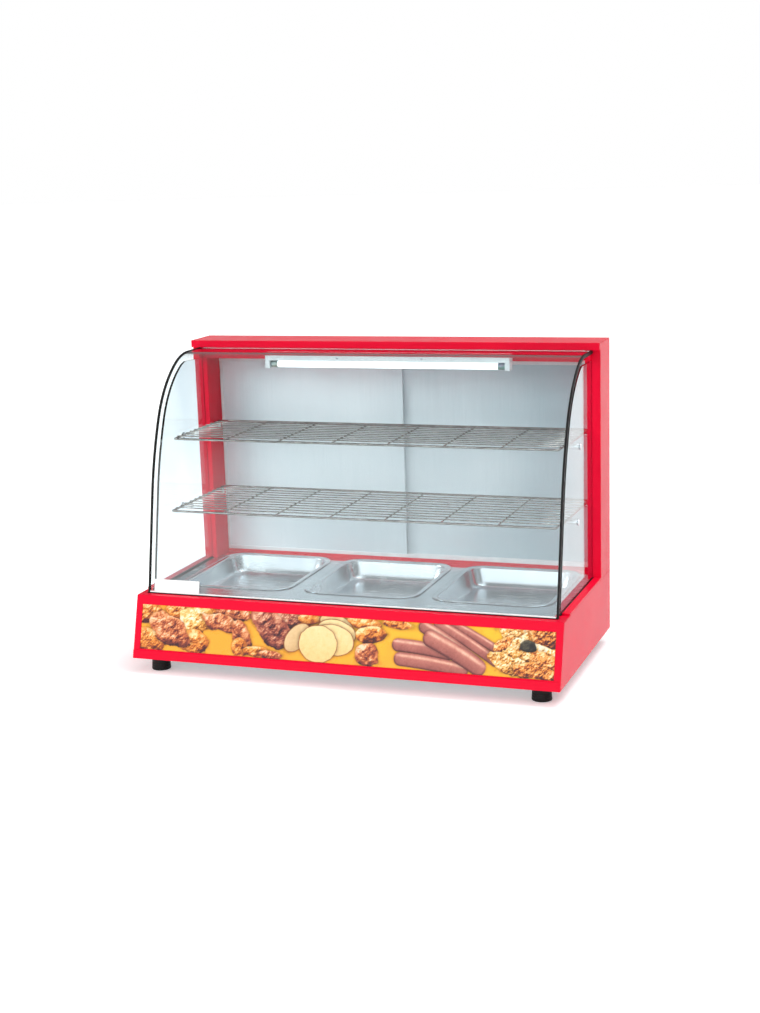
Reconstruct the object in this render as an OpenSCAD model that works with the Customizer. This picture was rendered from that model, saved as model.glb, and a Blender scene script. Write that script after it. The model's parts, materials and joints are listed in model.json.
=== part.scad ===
// Countertop heated food display cabinet with a curved glass front.
// Millimetres. X runs to the right, Y to the back and Z up. The origin is on the floor,
// below the middle of the cabinet. Depths (d) are counted back from the base's front edge.

/* [Cabinet] */
// Width over the side panels
cabinet_w = 900; // [880:2:940]
// Depth from the front edge of the base to its back face
cabinet_d = 452; // [448:1:460]
// Height of the rubber feet
foot_h = 30; // [20:1:40]
// Height of the base above the feet
base_h = 126; // [124:1:130]
// Thickness of the painted sheet steel
sheet = 1.5; // [1:0.1:1.6]

/* [Base front] */
// How far the sloping front leans back at its top
front_setback = 38; // [30:1:42]
// Height of the kick rail along the bottom of the front
kick_h = 17.4; // [14:0.2:18]
// Margin of painted steel beside the picture panel
picture_margin = 14; // [10:1:20]
// Height of the band of painted steel above the picture panel
picture_top_band = 18.3; // [14:0.1:20]

/* [Glass] */
// Thickness of the toughened glass
glass_t = 5; // [4:0.5:5]
// Depth of the front glass's foot
glass_foot_d = 58; // [56:1:60]
// Lean of the lower, straight part of the front glass, in degrees
glass_lean = 11; // [10:0.5:12]
// Length of the straight part
glass_straight = 202.7; // [200:0.1:206]
// Radius of the gentle curve above the straight part
glass_r1 = 690; // [680:1:700]
// Angle from vertical where the gentle curve ends
glass_turn = 24.3; // [24:0.1:25]
// Radius of the tight curve at the top
glass_r2 = 224.9; // [222:0.1:226]
// Angle of the front glass's face from vertical where the tightest arc takes over
glass_bend = 60; // [58:0.5:62]
// Radius of the tightest arc, under the cap
glass_r3 = 129; // [126:0.5:132]
// Distance of the glass's outer edge planes from the cabinet's sides
glass_inset = 17.5; // [17:0.5:18]

/* [Rear frame] */
// Width of a rear post
post_w = 32; // [30:1:33]
// Depth of a rear post
post_d = 86; // [84:1:88]
// Height of the beam that joins the posts
beam_h = 37; // [35:1:38]

/* [Shelves and pans] */
// Height of the lower shelf above the floor
shelf_low_z = 312; // [290:1:320]
// Height of the upper shelf above the floor
shelf_high_z = 460; // [440:1:470]
// Number of bays between a shelf's cross wires
shelf_bays = 7; // [5:1:9]
// Pitch of the pans
pan_pitch = 276; // [274:1:277]
// Width of a pan over its rim
pan_w = 252; // [248:1:254]
// Length of a pan over its rim
pan_l = 292; // [288:1:294]
// Depth of a pan
pan_h = 40; // [30:1:64]

/* [Lamp] */
// Length of the lamp batten
batten_w = 538; // [536:1:540]

/* [Hidden] */

$fn = 48;
red = "crimson";
steel = "silver";
black = "#202020";
white = "whitesmoke";

half_w = cabinet_w / 2;
fit_gap = 0.3;                                  // gap between neighbouring sheets and moving parts
knob_reach = 20;                                // how far the knob stands behind the back face
front_y = -(cabinet_d + knob_reach) / 2;        // puts the origin at the middle of the whole depth

// Base
base_z = foot_h;
base_top = base_z + base_h;
slope = (front_setback - sheet) / base_h;       // depth gained per millimetre of height on the front
flange_end_d = 90;                              // back edge of the front's top flange
side_flange_x = half_w - post_w + 0.2;
rear_d = cabinet_d - sheet;
picture_z0 = base_z + kick_h + 2;
picture_z1 = base_top - picture_top_band;
picture_half = half_w - picture_margin;
picture_t = 1.3;

// Deck and pans
deck_t = 1.2;
deck_top = base_top + deck_t;
deck_d0 = glass_foot_d + 8;
deck_d1 = cabinet_d - 56;
deck_half = half_w - 26;
pan_d = 269;                                    // depth of the pans' centre
pan_rim = 10;
pan_r = 45;
opening_w = pan_w - 16;
opening_l = pan_l - 16;
opening_r = 37;

// Rear frame
post_d0 = cabinet_d - post_d;
post_x0 = half_w - post_w;
lip_d = 9;                                      // how far the cap's lip stands in front of the posts
lip_d0 = post_d0 - lip_d;

// Glass curve: the straight part, three arcs of falling radius and a level tail under the cap's lip
foot_z = base_top + 1.5;
arc1_d = glass_foot_d + glass_straight * sin(glass_lean);
arc1_z = foot_z + glass_straight * cos(glass_lean);
arc2_d = arc1_d + glass_r1 * (cos(glass_lean) - cos(glass_turn));
arc2_z = arc1_z + glass_r1 * (sin(glass_turn) - sin(glass_lean));
arc3_d = arc2_d + glass_r2 * (cos(glass_turn) - cos(glass_bend));
arc3_z = arc2_z + glass_r2 * (sin(glass_bend) - sin(glass_turn));
glass_top = arc3_z + glass_r3 * (1 - sin(glass_bend));
lip_h = 15;
top_z = glass_top + lip_h + 1.75;
cap_z = top_z - sheet;
beam_z0 = top_z - beam_h;
glass_x = half_w - glass_inset;
pane_x = glass_x - glass_t;                     // inner face of a side pane
pane_gap_low = 24;                              // side pane's front edge behind the front glass, at the foot
pane_gap_high = 17;                             // and at the top

// Doors: two sheets in two tracks
track_d0 = cabinet_d - 23;
track_d1 = cabinet_d - 2;
track_h = 8;
sill_h = 8;
groove = 4.6;
door_t = 4;
door_pitch = 11;                                // distance between the two tracks
door_front_d = track_d0 + 3;
door_z0 = base_top + sill_h + 2.3;
door_z1 = beam_z0 - 5;
track_x = post_x0 - 0.2;
jamb_w = 6;
door_edge_x = track_x - 1.8;
door_overlap = 8;
pull_x = door_edge_x - 36;
pull_z = base_top + 230;
pull_r = 17.8;

// Shelves
shelf_half = half_w - 37;
rod_r = 2.4;
wire_r = 1.4;
weld = 0.6;                                     // how deep crossing wires sink into each other
bead = 0.15;                                    // how far a corner's weld bead stands out of its rods
shelf_back_d = 414;
upper_front_d = 170;
lower_front_d = 141;
shelf_lines = 11;                               // long wires between the front and back rods
peg_r = 4.5;
upper_peg_d = 257;                              // depth of the front pegs
lower_peg_d = 235;

// Lamp
tube_r = 8;
tube_d = post_d0 - 13;
tube_z = top_z - 48;
batten_z0 = tube_z + tube_r + 1;
batten_h = 12;
batten_depth = 25;
holder_w = 10;
cap_len = 15.5;
tube_half = batten_w / 2 - holder_w - 0.5;
pin_r = 1.18;
pin_pitch = 4.75;

// Heater and controls
tray_z = base_z + 32;
tray_half = half_w - 44;
tray_d0 = 108;
tray_d1 = cabinet_d - 36.8;
tray_t = 1.2;
element_r = 4;
element_z = tray_z + 16;
element_x0 = 56;
element_x1 = 340;
element_front_d = 150;
element_bend = 30;
control_z = base_z + 65;
knob_x = 340;
knob_r = 19;
shaft_r = 3;
bush_r = 5;
bush_play = 0.05;                               // radial clearance of a turning pin or shaft
thermostat_half = 17;
capillary_r = 1;
capillary_x = 50;
bulb_z = element_z + 10;
power_x = 180;
light_x = 120;
pilot_x = [235, 275];
rocker_r = 11.4;
rocker_w = 16.4;
rocker_tilt = 12;
rocker_pin_r = 1.5;
switch_w = 22;
switch_h = 28;
lens_r = 4.8;
gland_x = -380;
gland_z = base_z + 34;
gland_r = 7.9;
gland_bore = 4.2;
terminal_x = -270;
loom_r = 3;
loom_d = cabinet_d - 13;
loom_z = base_z + 14;
loom_x = half_w - 16;
loom_top_z = top_z - 20;
feed_x = batten_w / 2 - 60;                     // where the lamp's wires enter its batten
feed_z = batten_z0 + 7;
foot_r = 20;
foot_x = half_w - 45;
foot_d = [40, cabinet_d - 40];
foot_screw_r = 3;

// ---------- helpers ----------

function left_normal(a, b) = [a[1] - b[1], b[0] - a[0]] / norm(b - a);

// The line that runs beside an open outline, t to its left, with mitred corners
function beside(path, t) = [
    for (i = [0 : len(path) - 1])
    let (last = len(path) - 1,
         n1 = left_normal(path[i == 0 ? 0 : i - 1], path[i == 0 ? 1 : i]),
         n2 = left_normal(path[i == last ? last - 1 : i], path[i == last ? last : i + 1]))
    path[i] + (n1 + n2) * t / (1 + n1 * n2)
];

function backwards(list) = [for (i = [len(list) - 1 : -1 : 0]) list[i]];

// Outline of a folded sheet t thick
function folded(path, t) = concat(path, backwards(beside(path, t)));

// Depth of the base front's outer face at height z
function front_d(z) = sheet + (z - base_z) * slope;

// Point of the front glass's outer line at an angle from vertical, moved inwards by inset
function glass_point(angle, inset) =
    let (d = angle <= glass_turn ? arc1_d + glass_r1 * (cos(glass_lean) - cos(angle))
             : angle <= glass_bend ? arc2_d + glass_r2 * (cos(glass_turn) - cos(angle))
             : arc3_d + glass_r3 * (cos(glass_bend) - cos(angle)),
         z = angle <= glass_turn ? arc1_z + glass_r1 * (sin(angle) - sin(glass_lean))
             : angle <= glass_bend ? arc2_z + glass_r2 * (sin(angle) - sin(glass_turn))
             : arc3_z + glass_r3 * (sin(angle) - sin(glass_bend)))
    [d + inset * cos(angle), z - inset * sin(angle)];

// A line inside the front glass's outer line, from the foot to depth end_d at the top.
// Its inset changes evenly from low at the foot to high at the top.
function glass_line(low, high, end_d) =
    let (gentle = [for (i = [0 : 7]) glass_lean + (glass_turn - glass_lean) * i / 8],
         tight = [for (i = [0 : 26]) glass_turn + (90 - glass_turn) * i / 26])
    concat(
        [[glass_foot_d + low / cos(glass_lean), foot_z]],
        [for (angle = concat(gentle, tight))
            glass_point(angle, low + (high - low) * (angle - glass_lean) / (90 - glass_lean))],
        [[end_d, glass_top - high]]
    );

// Extrudes a (depth, height) outline along X, from x0 to x1
module along_x(x0, x1) {
    translate([x0, front_y, 0])
        rotate([90, 0, 90])
            linear_extrude(x1 - x0) children();
}

// Box from its corners, with depths counted from the front edge
module block(x0, x1, d0, d1, z0, z1) {
    translate([x0, front_y + d0, z0]) cube([x1 - x0, d1 - d0, z1 - z0]);
}

// Plan outline extruded upwards from z0
module upright(z0, z1) {
    translate([0, front_y, z0]) linear_extrude(z1 - z0) children();
}

module rod_x(x0, x1, d, z, r) {
    translate([x0, front_y + d, z]) rotate([0, 90, 0]) cylinder(h = x1 - x0, r = r);
}

module rod_y(x, d0, d1, z, r) {
    translate([x, front_y + d0, z]) rotate([-90, 0, 0]) cylinder(h = d1 - d0, r = r);
}

module rod_z(x, d, z0, z1, r) {
    translate([x, front_y + d, z0]) cylinder(h = z1 - z0, r = r);
}

module ball(x, d, z, r) {
    translate([x, front_y + d, z]) sphere(r = r);
}

module round_rect(w, l, r) {
    square([w - 2 * r, l], center = true);
    square([w, l - 2 * r], center = true);
    for (sx = [-1, 1])
        for (sy = [-1, 1])
            translate([sx * (w / 2 - r), sy * (l / 2 - r)]) circle(r);
}

module both_sides() {
    children();
    mirror([1, 0, 0]) children();
}

// A band that follows the front glass from its foot to depth end_d, between two insets
module glass_band(x0, x1, outer, inner, end_d) {
    along_x(x0, x1)
        polygon(concat(glass_line(outer, outer, end_d), backwards(glass_line(inner, inner, end_d))));
}

// ---------- base ----------

module pan_openings() {
    for (i = [-1 : 1])
        translate([i * pan_pitch, pan_d]) round_rect(opening_w, opening_l, opening_r);
}

module front_fascia() color(red) {
    path = [[22, base_z], [sheet, base_z], [front_d(base_top), base_top], [flange_end_d, base_top]];
    difference() {
        along_x(-half_w, half_w) polygon(folded(path, -sheet));
        block(-picture_half, picture_half, -5, 50, picture_z0, picture_z1);
    }
}

module kick_rail() color(red) {
    top = base_z + kick_h;
    along_x(-half_w, half_w)
        polygon([[0, base_z], [sheet, base_z], [front_d(top), top], [front_d(top) - sheet, top]]);
}

module picture_panel() color("orange") {
    z0 = picture_z0 + 0.2;
    z1 = picture_z1 - 0.2;
    sink = 0.6;
    along_x(-picture_half + 0.2, picture_half - 0.2)
        polygon([[front_d(z0) + sink, z0], [front_d(z0) + sink + picture_t, z0],
            [front_d(z1) + sink + picture_t, z1], [front_d(z1) + sink, z1]]);
}

module side_panel() {
    behind = sheet + 0.3;
    z0 = base_z + sheet + 0.1;
    z1 = base_top - sheet - 0.1;
    end_d = rear_d - fit_gap;
    along_x(half_w - sheet, half_w)
        polygon([[22.2, base_z], [end_d, base_z], [end_d, base_top], [flange_end_d + 0.2, base_top],
            [flange_end_d + 0.2, z1], [front_d(z1) + behind, z1], [front_d(z0) + behind, z0], [22.2, z0]]);
    block(half_w - 20, half_w, 22.2, end_d, base_z, base_z + sheet);
    difference() {
        block(side_flange_x, half_w, flange_end_d + 0.2, end_d, base_top - sheet, base_top);
        rod_z(loom_x, loom_d, base_top - 5, base_top + 5, loom_r + 1);
    }
}

module side_panel_right() color(red) side_panel();

module side_panel_left() color(red) mirror([1, 0, 0]) side_panel();

module rear_panel() color(red) {
    d0 = rear_d - 2;
    d1 = cabinet_d + 2;
    vents = 8;
    vent_x0 = -300;
    vent_pitch = 44;
    vent_w = 30;
    vent_h = 4;
    vent_row = 14;
    difference() {
        block(-half_w, half_w, rear_d, cabinet_d, base_z, base_top);
        rod_y(knob_x, d0, d1, control_z, bush_r + 0.1);
        for (x = pilot_x)
            rod_y(x, d0, d1, control_z, lens_r + 0.2);
        for (x = [power_x, light_x])
            block(x - switch_w / 2 - 0.2, x + switch_w / 2 + 0.2, d0, d1,
                control_z - switch_h / 2 - 0.2, control_z + switch_h / 2 + 0.2);
        rod_y(gland_x, d0, d1, gland_z, gland_r + 0.1);
        for (i = [0 : vents - 1])
            for (j = [-1 : 1])
                block(vent_x0 + vent_pitch * i, vent_x0 + vent_pitch * i + vent_w, d0, d1,
                    control_z + vent_row * j, control_z + vent_row * j + vent_h);
    }
}

module bottom_panel() color("gainsboro") {
    z0 = base_z + sheet + 0.1;
    slot_pitch = 50;
    slot_half_w = 3;
    slot_half_l = 30;
    difference() {
        block(-half_w + 2, half_w - 2, 4, rear_d - 0.5, z0, z0 + sheet);
        for (sx = [-1, 1])
            for (d = foot_d)
                rod_z(sx * foot_x, d, z0 - 2, z0 + 4, foot_screw_r + 0.2);
        for (i = [-7 : 7])
            for (d = [140, 300])
                block(i * slot_pitch - slot_half_w, i * slot_pitch + slot_half_w,
                    d - slot_half_l, d + slot_half_l, z0 - 2, z0 + 4);
    }
}

module deck() color(steel) {
    upright(base_top, deck_top)
        difference() {
            translate([-deck_half, deck_d0]) square([2 * deck_half, deck_d1 - deck_d0]);
            for (x = [-half_w, track_x])
                translate([x, post_d0 - fit_gap]) square([half_w - track_x, post_d]);
            pan_openings();
        }
}

module rear_sill() color(red) {
    half = track_x;
    ledge_d = deck_d1 - 16;
    upright(base_top - sheet, base_top)
        difference() {
            translate([-half, ledge_d]) square([2 * half, rear_d - 0.2 - ledge_d]);
            pan_openings();
        }
    path = [[track_d0 - 1, base_top], [track_d0 - 1, base_top + sill_h], [cabinet_d, base_top + sill_h],
        [cabinet_d, base_top]];
    along_x(-half, half) polygon(folded(path, -sheet));
}

module heater_tray() color("lightgray") {
    rim_z = base_top - sheet + 0.1;
    under_ledge_z = base_top - sheet - 0.2;
    difference() {
        union() {
            block(-tray_half, tray_half, tray_d0, deck_d1 - 17, tray_z, rim_z);
            block(-tray_half, tray_half, tray_d0, tray_d1, tray_z, under_ledge_z);
            block(-side_flange_x + 0.3, side_flange_x - 0.3, tray_d0 - 15, deck_d1 - 17, rim_z, base_top);
        }
        block(-tray_half + tray_t, tray_half - tray_t, tray_d0 + tray_t, tray_d1 - tray_t,
            tray_z + tray_t, base_top + 5);
        for (sx = [-1, 1])
            for (x = [element_x0, element_x1])
                rod_y(sx * x, tray_d1 - 3, tray_d1 + 3, element_z, element_r);
        rod_y(capillary_x, tray_d1 - 3, tray_d1 + 3, bulb_z, capillary_r);
    }
}

// ---------- heating and controls ----------

module heating_element() {
    end_d = tray_d1 + 12;
    straight_d = element_front_d + element_bend;
    rod_y(element_x0, straight_d, end_d, element_z, element_r);
    rod_y(element_x1, straight_d, end_d, element_z, element_r);
    rod_x(element_x0 + element_bend, element_x1 - element_bend, element_front_d, element_z, element_r);
    translate([element_x0 + element_bend, front_y + straight_d, element_z])
        rotate([0, 0, 180]) rotate_extrude(angle = 90) translate([element_bend, 0]) circle(element_r);
    translate([element_x1 - element_bend, front_y + straight_d, element_z])
        rotate([0, 0, 270]) rotate_extrude(angle = 90) translate([element_bend, 0]) circle(element_r);
}

module heating_element_right() color("dimgray") heating_element();

module heating_element_left() color("dimgray") mirror([1, 0, 0]) heating_element();

module element_clips() color(steel) {
    clip_d = 230;
    both_sides()
        for (x = [element_x0, element_x1])
            difference() {
                block(x - 8, x + 8, clip_d, clip_d + 3, tray_z + tray_t, element_z + 7);
                rod_y(x, clip_d - 1, clip_d + 4, element_z, element_r);
            }
}

module thermostat() color(black) {
    depth = 22;
    half = thermostat_half;
    difference() {
        union() {
            block(knob_x - half, knob_x + half, rear_d - depth, rear_d, control_z - half, control_z + half);
            rod_y(knob_x, rear_d - 1, cabinet_d + 3, control_z, bush_r);
        }
        rod_y(knob_x, rear_d - depth + 2, cabinet_d + 4, control_z, shaft_r + bush_play);
    }
}

module thermostat_bulb() color("peru") {
    bulb_half = 45;
    bulb_r = 3;
    bulb_d = 300;
    turn_d = tray_d1 + 4;
    turn_x = 300;
    end_d = rear_d - 10;
    r = capillary_r;
    rod_x(-bulb_half, bulb_half, bulb_d, bulb_z, bulb_r);
    rod_x(bulb_half, capillary_x, bulb_d, bulb_z, r);
    ball(capillary_x, bulb_d, bulb_z, r);
    rod_y(capillary_x, bulb_d, turn_d, bulb_z, r);
    ball(capillary_x, turn_d, bulb_z, r);
    rod_x(capillary_x, turn_x, turn_d, bulb_z, r);
    ball(turn_x, turn_d, bulb_z, r);
    rod_y(turn_x, turn_d, end_d, bulb_z, r);
    ball(turn_x, end_d, bulb_z, r);
    rod_x(turn_x, knob_x - thermostat_half, end_d, bulb_z, r);
}

module rocker_switch(x) {
    pivot_d = cabinet_d - 2;
    bezel = 3;
    bezel_t = 2.5;
    half_h = switch_h / 2;
    half = switch_w / 2;
    slot_half = rocker_w / 2 + fit_gap;
    pin_half = 9.6;
    difference() {
        union() {
            block(x - half, x + half, rear_d - 26, cabinet_d, control_z - half_h, control_z + half_h);
            block(x - half - bezel, x + half + bezel, cabinet_d, cabinet_d + bezel_t,
                control_z - half_h - bezel, control_z + half_h + bezel);
        }
        rod_x(x - slot_half, x + slot_half, pivot_d, control_z, rocker_r + fit_gap);
        rod_x(x - pin_half, x + pin_half, pivot_d, control_z, rocker_pin_r + bush_play);
    }
}

module power_switch() color(black) rocker_switch(power_x);

module lamp_switch() color(black) rocker_switch(light_x);

// Rocker at rest, tilted to its off side
module rocker(x) {
    pivot_d = cabinet_d - 2;
    dip = 4;
    rise = dip + rocker_r * tan(rocker_tilt);
    translate([0, front_y + pivot_d, control_z])
        rotate([rocker_tilt, 0, 0]) {
            translate([x - rocker_w / 2, 0, 0])
                rotate([90, 0, 90])
                    linear_extrude(rocker_w)
                        intersection() {
                            circle(rocker_r);
                            polygon([[-6, -rocker_r], [rise, -rocker_r], [dip, 0], [rise, rocker_r],
                                [-6, rocker_r]]);
                        }
            translate([x - 9.4, 0, 0]) rotate([0, 90, 0]) cylinder(h = 18.8, r = rocker_pin_r);
        }
}

module power_rocker() color("firebrick") rocker(power_x);

module lamp_rocker() color("seagreen") rocker(light_x);

module indicator_lamps() {
    for (x = pilot_x)
        color(x == pilot_x[0] ? "orangered" : "gold")
            translate([x, front_y + rear_d - 14, control_z])
                rotate([-90, 0, 0])
                    rotate_extrude()
                        difference() {
                            union() {
                                square([lens_r, 16]);
                                translate([0, 15.5]) square([6.5, 1.5]);
                                translate([0, 17]) circle(4.5);
                            }
                            translate([-10, -1]) square([10, 30]);
                        }
}

module thermostat_knob() color(black) {
    knob_d0 = cabinet_d + 4;
    knob_d1 = cabinet_d + knob_reach;
    rod_y(knob_x, rear_d - 19, knob_d0 + 2, control_z, shaft_r);
    rod_y(knob_x, knob_d0, knob_d0 + 3, control_z, knob_r + 2);
    rod_y(knob_x, knob_d0 + 3, knob_d1 - 2, control_z, knob_r - 4);
    block(knob_x - 3.5, knob_x + 3.5, knob_d0 + 3, knob_d1, control_z - knob_r + 2, control_z + knob_r - 2);
}

module terminal_block() color("ivory") {
    z0 = base_z + 2 * sheet + 0.1;
    half = 9;
    high = 18;
    ways = 5;
    pitch = 10;
    difference() {
        block(terminal_x - (ways + 1) * pitch, terminal_x, loom_d - half, loom_d + half, z0, z0 + high);
        for (i = [1 : ways])
            rod_z(terminal_x - i * pitch, loom_d, z0 + 8, z0 + high + 2, 2);
    }
}

module cable_gland() color(black) {
    nut_h = 5;
    nut_r = 12;
    difference() {
        union() {
            rod_y(gland_x, cabinet_d - 12, cabinet_d + 4, gland_z, gland_r);
            for (d = [cabinet_d, rear_d - nut_h])
                translate([gland_x, front_y + d, gland_z])
                    rotate([-90, 0, 0]) cylinder(h = nut_h, r = nut_r, $fn = 6);
            rod_y(gland_x, cabinet_d + 4, cabinet_d + 16, gland_z, gland_r + 0.6);
        }
        rod_y(gland_x, cabinet_d - 14, cabinet_d + 18, gland_z, gland_bore);
    }
}

// Wires tied into one loom: along the base, up the right post and over to the lamp
module wiring() color("dimgray") {
    branch_r = 1.5;
    rod_x(terminal_x, loom_x, loom_d, loom_z, loom_r);
    ball(loom_x, loom_d, loom_z, loom_r);
    rod_z(loom_x, loom_d, loom_z, loom_top_z, loom_r);
    ball(loom_x, loom_d, loom_top_z, loom_r);
    rod_x(feed_x, loom_x, loom_d, loom_top_z, loom_r);
    ball(feed_x, loom_d, loom_top_z, loom_r);
    rod_y(feed_x, post_d0 - 6, loom_d, feed_z, loom_r);
    rod_z(feed_x, loom_d, feed_z, loom_top_z, loom_r);
    ball(feed_x, loom_d, feed_z, loom_r);
    for (x = [light_x, power_x])
        rod_z(x, loom_d, loom_z, control_z - switch_h / 2, branch_r);
    rod_z(knob_x, loom_d, loom_z, control_z - thermostat_half, branch_r);
}

// ---------- rear frame ----------

module post() {
    difference() {
        block(post_x0, half_w, post_d0, cabinet_d, base_top, cap_z);
        block(post_x0 + sheet, half_w - sheet, post_d0 + sheet, cabinet_d - sheet, base_top - 1, cap_z + 1);
        rod_x(post_x0 - 1, post_x0 + 3, loom_d, loom_top_z, loom_r);
    }
}

module post_right() color(red) post();

module post_left() color(red) mirror([1, 0, 0]) post();

module top_beam() color(red) {
    difference() {
        block(-track_x, track_x, post_d0, cabinet_d, beam_z0, cap_z);
        block(-track_x - 1, track_x + 1, post_d0 + sheet, cabinet_d - sheet, beam_z0 + sheet, cap_z - sheet);
        rod_y(feed_x, post_d0 - 2, post_d0 + 4, feed_z, loom_r);
    }
}

module top_cap() color(red) {
    block(-half_w, half_w, lip_d0, cabinet_d, cap_z, top_z);
    block(-half_w, half_w, lip_d0, post_d0, top_z - lip_h, cap_z);
}

// Outline of the space under the front glass, from the given insets inwards
module under_glass(low, high) {
    polygon(concat(glass_line(low, high, cabinet_d), [[cabinet_d, foot_z]]));
}

module glass_bracket() {
    reach = 18;
    along_x(pane_x, glass_x)
        intersection() {
            under_glass(glass_t + 2, glass_t + 2);
            translate([post_d0 - reach, beam_z0 + fit_gap]) square([reach, top_z - beam_z0]);
        }
}

module glass_bracket_right() color(red) glass_bracket();

module glass_bracket_left() color(red) mirror([1, 0, 0]) glass_bracket();

module track_grooves(x0, x1, z0, z1) {
    for (i = [0, 1]) {
        d = door_front_d + i * door_pitch - (groove - door_t) / 2;
        block(x0, x1, d, d + groove, z0, z1);
    }
}

module door_track_lower() color(white) {
    z0 = base_top + sill_h;
    difference() {
        block(-track_x, track_x, track_d0, track_d1, z0, z0 + track_h);
        track_grooves(-track_x - 1, track_x + 1, z0 + 2, z0 + track_h + 1);
    }
}

module door_track_upper() color(white) {
    difference() {
        block(-track_x, track_x, track_d0, track_d1, beam_z0 - 14, beam_z0);
        track_grooves(-track_x - 1, track_x + 1, beam_z0 - 15, beam_z0 - 4);
    }
}

module door_jambs() color(white) {
    z0 = base_top + sill_h + track_h;
    both_sides()
        difference() {
            block(track_x - jamb_w, track_x, track_d0, track_d1, z0, beam_z0 - 14);
            track_grooves(track_x - jamb_w - 1, track_x - 1.5, z0 - 1, beam_z0);
        }
}

// ---------- glass ----------

module front_glass() color("lightcyan", 0.4) {
    glass_band(-glass_x, glass_x, 0, glass_t, post_d0 - 1);
}

module front_gasket() color(black) {
    block(-glass_x - 2, glass_x + 2, glass_foot_d - 4, glass_foot_d + 7, base_top, foot_z);
}

module glass_edge() {
    wrap = 1.2;
    difference() {
        glass_band(glass_x - 2, glass_x + 2, -wrap, glass_t + wrap, post_d0 - 0.5);
        glass_band(glass_x - 3, glass_x, 0, glass_t, post_d0);
    }
}

module glass_edge_right() color(black) glass_edge();

module glass_edge_left() color(black) mirror([1, 0, 0]) glass_edge();

module side_glass() {
    along_x(pane_x, glass_x)
        intersection() {
            under_glass(pane_gap_low, pane_gap_high);
            translate([0, foot_z + 0.5]) square([post_d0, beam_z0 - foot_z - 0.5]);
        }
}

module side_glass_right() color("lightcyan", 0.4) side_glass();

module side_glass_left() color("lightcyan", 0.4) mirror([1, 0, 0]) side_glass();

module side_gaskets() color(black) {
    both_sides()
        difference() {
            block(pane_x - 1.5, glass_x + 1.5, glass_foot_d + 22, post_d0, base_top, base_top + 4.5);
            block(pane_x, glass_x, 0, cabinet_d, foot_z + 0.5, base_top + 5);
            block(0, pane_x, 0, cabinet_d, foot_z + 0.5, base_top + 5);
        }
}

module side_channel() {
    block(glass_x + 1.8, half_w, flange_end_d - 4, post_d0, base_top, base_top + 4);
}

module side_channel_right() color(red) side_channel();

module side_channel_left() color(red) mirror([1, 0, 0]) side_channel();

module label_plate() color(white) {
    plate_w = 102;
    plate_h = 27;
    plate_t = 2;
    lift = 0.8;
    inset = 12.7;
    translate([-glass_x + inset, front_y + glass_foot_d, foot_z])
        rotate([-glass_lean, 0, 0])
            translate([0, -plate_t, lift]) cube([plate_w, plate_t, plate_h]);
}

// ---------- shelves ----------

// Supports under a shelf: studs on the side panes in front, studs on the posts behind
module pegs(z, front) {
    peg_z = z - rod_r - peg_r;
    peg_x0 = shelf_half - 6;
    washer = 2;
    both_sides() {
        rod_x(peg_x0, pane_x, front, peg_z, peg_r);
        rod_x(glass_x, glass_x + washer, front, peg_z, peg_r + washer);
        rod_x(peg_x0, post_x0, shelf_back_d - 20, peg_z, peg_r);
    }
}

module shelf_pegs() color(steel) {
    pegs(shelf_high_z, upper_peg_d);
    pegs(shelf_low_z, lower_peg_d);
}

// Wire rack: a rod frame, cross wires level with it, and long wires laid on the cross wires
module wire_shelf(front) {
    line_z = rod_r + wire_r - weld;
    cross_z = rod_r - wire_r - weld / 2;
    pitch = (shelf_back_d - front) / (shelf_lines + 1);
    bay = 2 * shelf_half / shelf_bays;
    end = shelf_half - rod_r;
    rod_x(-end, end, front + rod_r, 0, rod_r);
    rod_x(-end, end, shelf_back_d - rod_r, 0, rod_r);
    for (sx = [-1, 1]) {
        rod_y(sx * end, front + rod_r, shelf_back_d - rod_r, 0, rod_r);
        for (d = [front + rod_r, shelf_back_d - rod_r])
            ball(sx * end, d, 0, rod_r + bead);
    }
    for (i = [1 : shelf_bays - 1])
        rod_y(-shelf_half + i * bay, front + rod_r, shelf_back_d - rod_r, cross_z, wire_r);
    for (i = [1 : shelf_lines])
        rod_x(-end - 1, end + 1, front + i * pitch, line_z, wire_r);
}

module shelf_upper() color(steel) translate([0, 0, shelf_high_z]) wire_shelf(upper_front_d);

module shelf_lower() color(steel) translate([0, 0, shelf_low_z]) wire_shelf(lower_front_d);

// ---------- pans ----------

// Rounded tapering block that ends pan_h below the rim, shrunk by wall
module pan_body(top, wall) {
    taper = 16;
    foot_h = 8;
    foot_taper = 16;
    skin = 0.01;
    w = pan_w - 2 * pan_rim - 2 * wall;
    l = pan_l - 2 * pan_rim - 2 * wall;
    z_low = top - pan_h + wall;
    r = pan_r - pan_rim - wall;
    hull($fn = 32) {
        translate([0, 0, top + wall]) linear_extrude(skin) round_rect(w, l, r);
        translate([0, 0, z_low + foot_h]) linear_extrude(skin) round_rect(w - taper, l - taper, r);
        translate([0, 0, z_low])
            linear_extrude(skin) round_rect(w - taper - foot_taper, l - taper - foot_taper, r - foot_taper / 2);
    }
}

module pan(i) {
    rim_z = deck_top + fit_gap;
    rim_t = 1;
    curl_w = 2.5;
    translate([i * pan_pitch, front_y + pan_d, 0]) {
        translate([0, 0, rim_z])
            linear_extrude(rim_t)
                difference() {
                    round_rect(pan_w, pan_l, pan_r);
                    round_rect(pan_w - 2 * pan_rim - 1, pan_l - 2 * pan_rim - 1, pan_r - pan_rim);
                }
        translate([0, 0, rim_z])
            linear_extrude(curl_w)
                difference() {
                    round_rect(pan_w, pan_l, pan_r);
                    round_rect(pan_w - 2 * curl_w, pan_l - 2 * curl_w, pan_r - curl_w);
                }
        difference() {
            pan_body(rim_z, 0);
            pan_body(rim_z, 1);
        }
    }
}

module pan_left() color(steel) pan(-1);

module pan_middle() color(steel) pan(0);

module pan_right() color(steel) pan(1);

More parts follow.
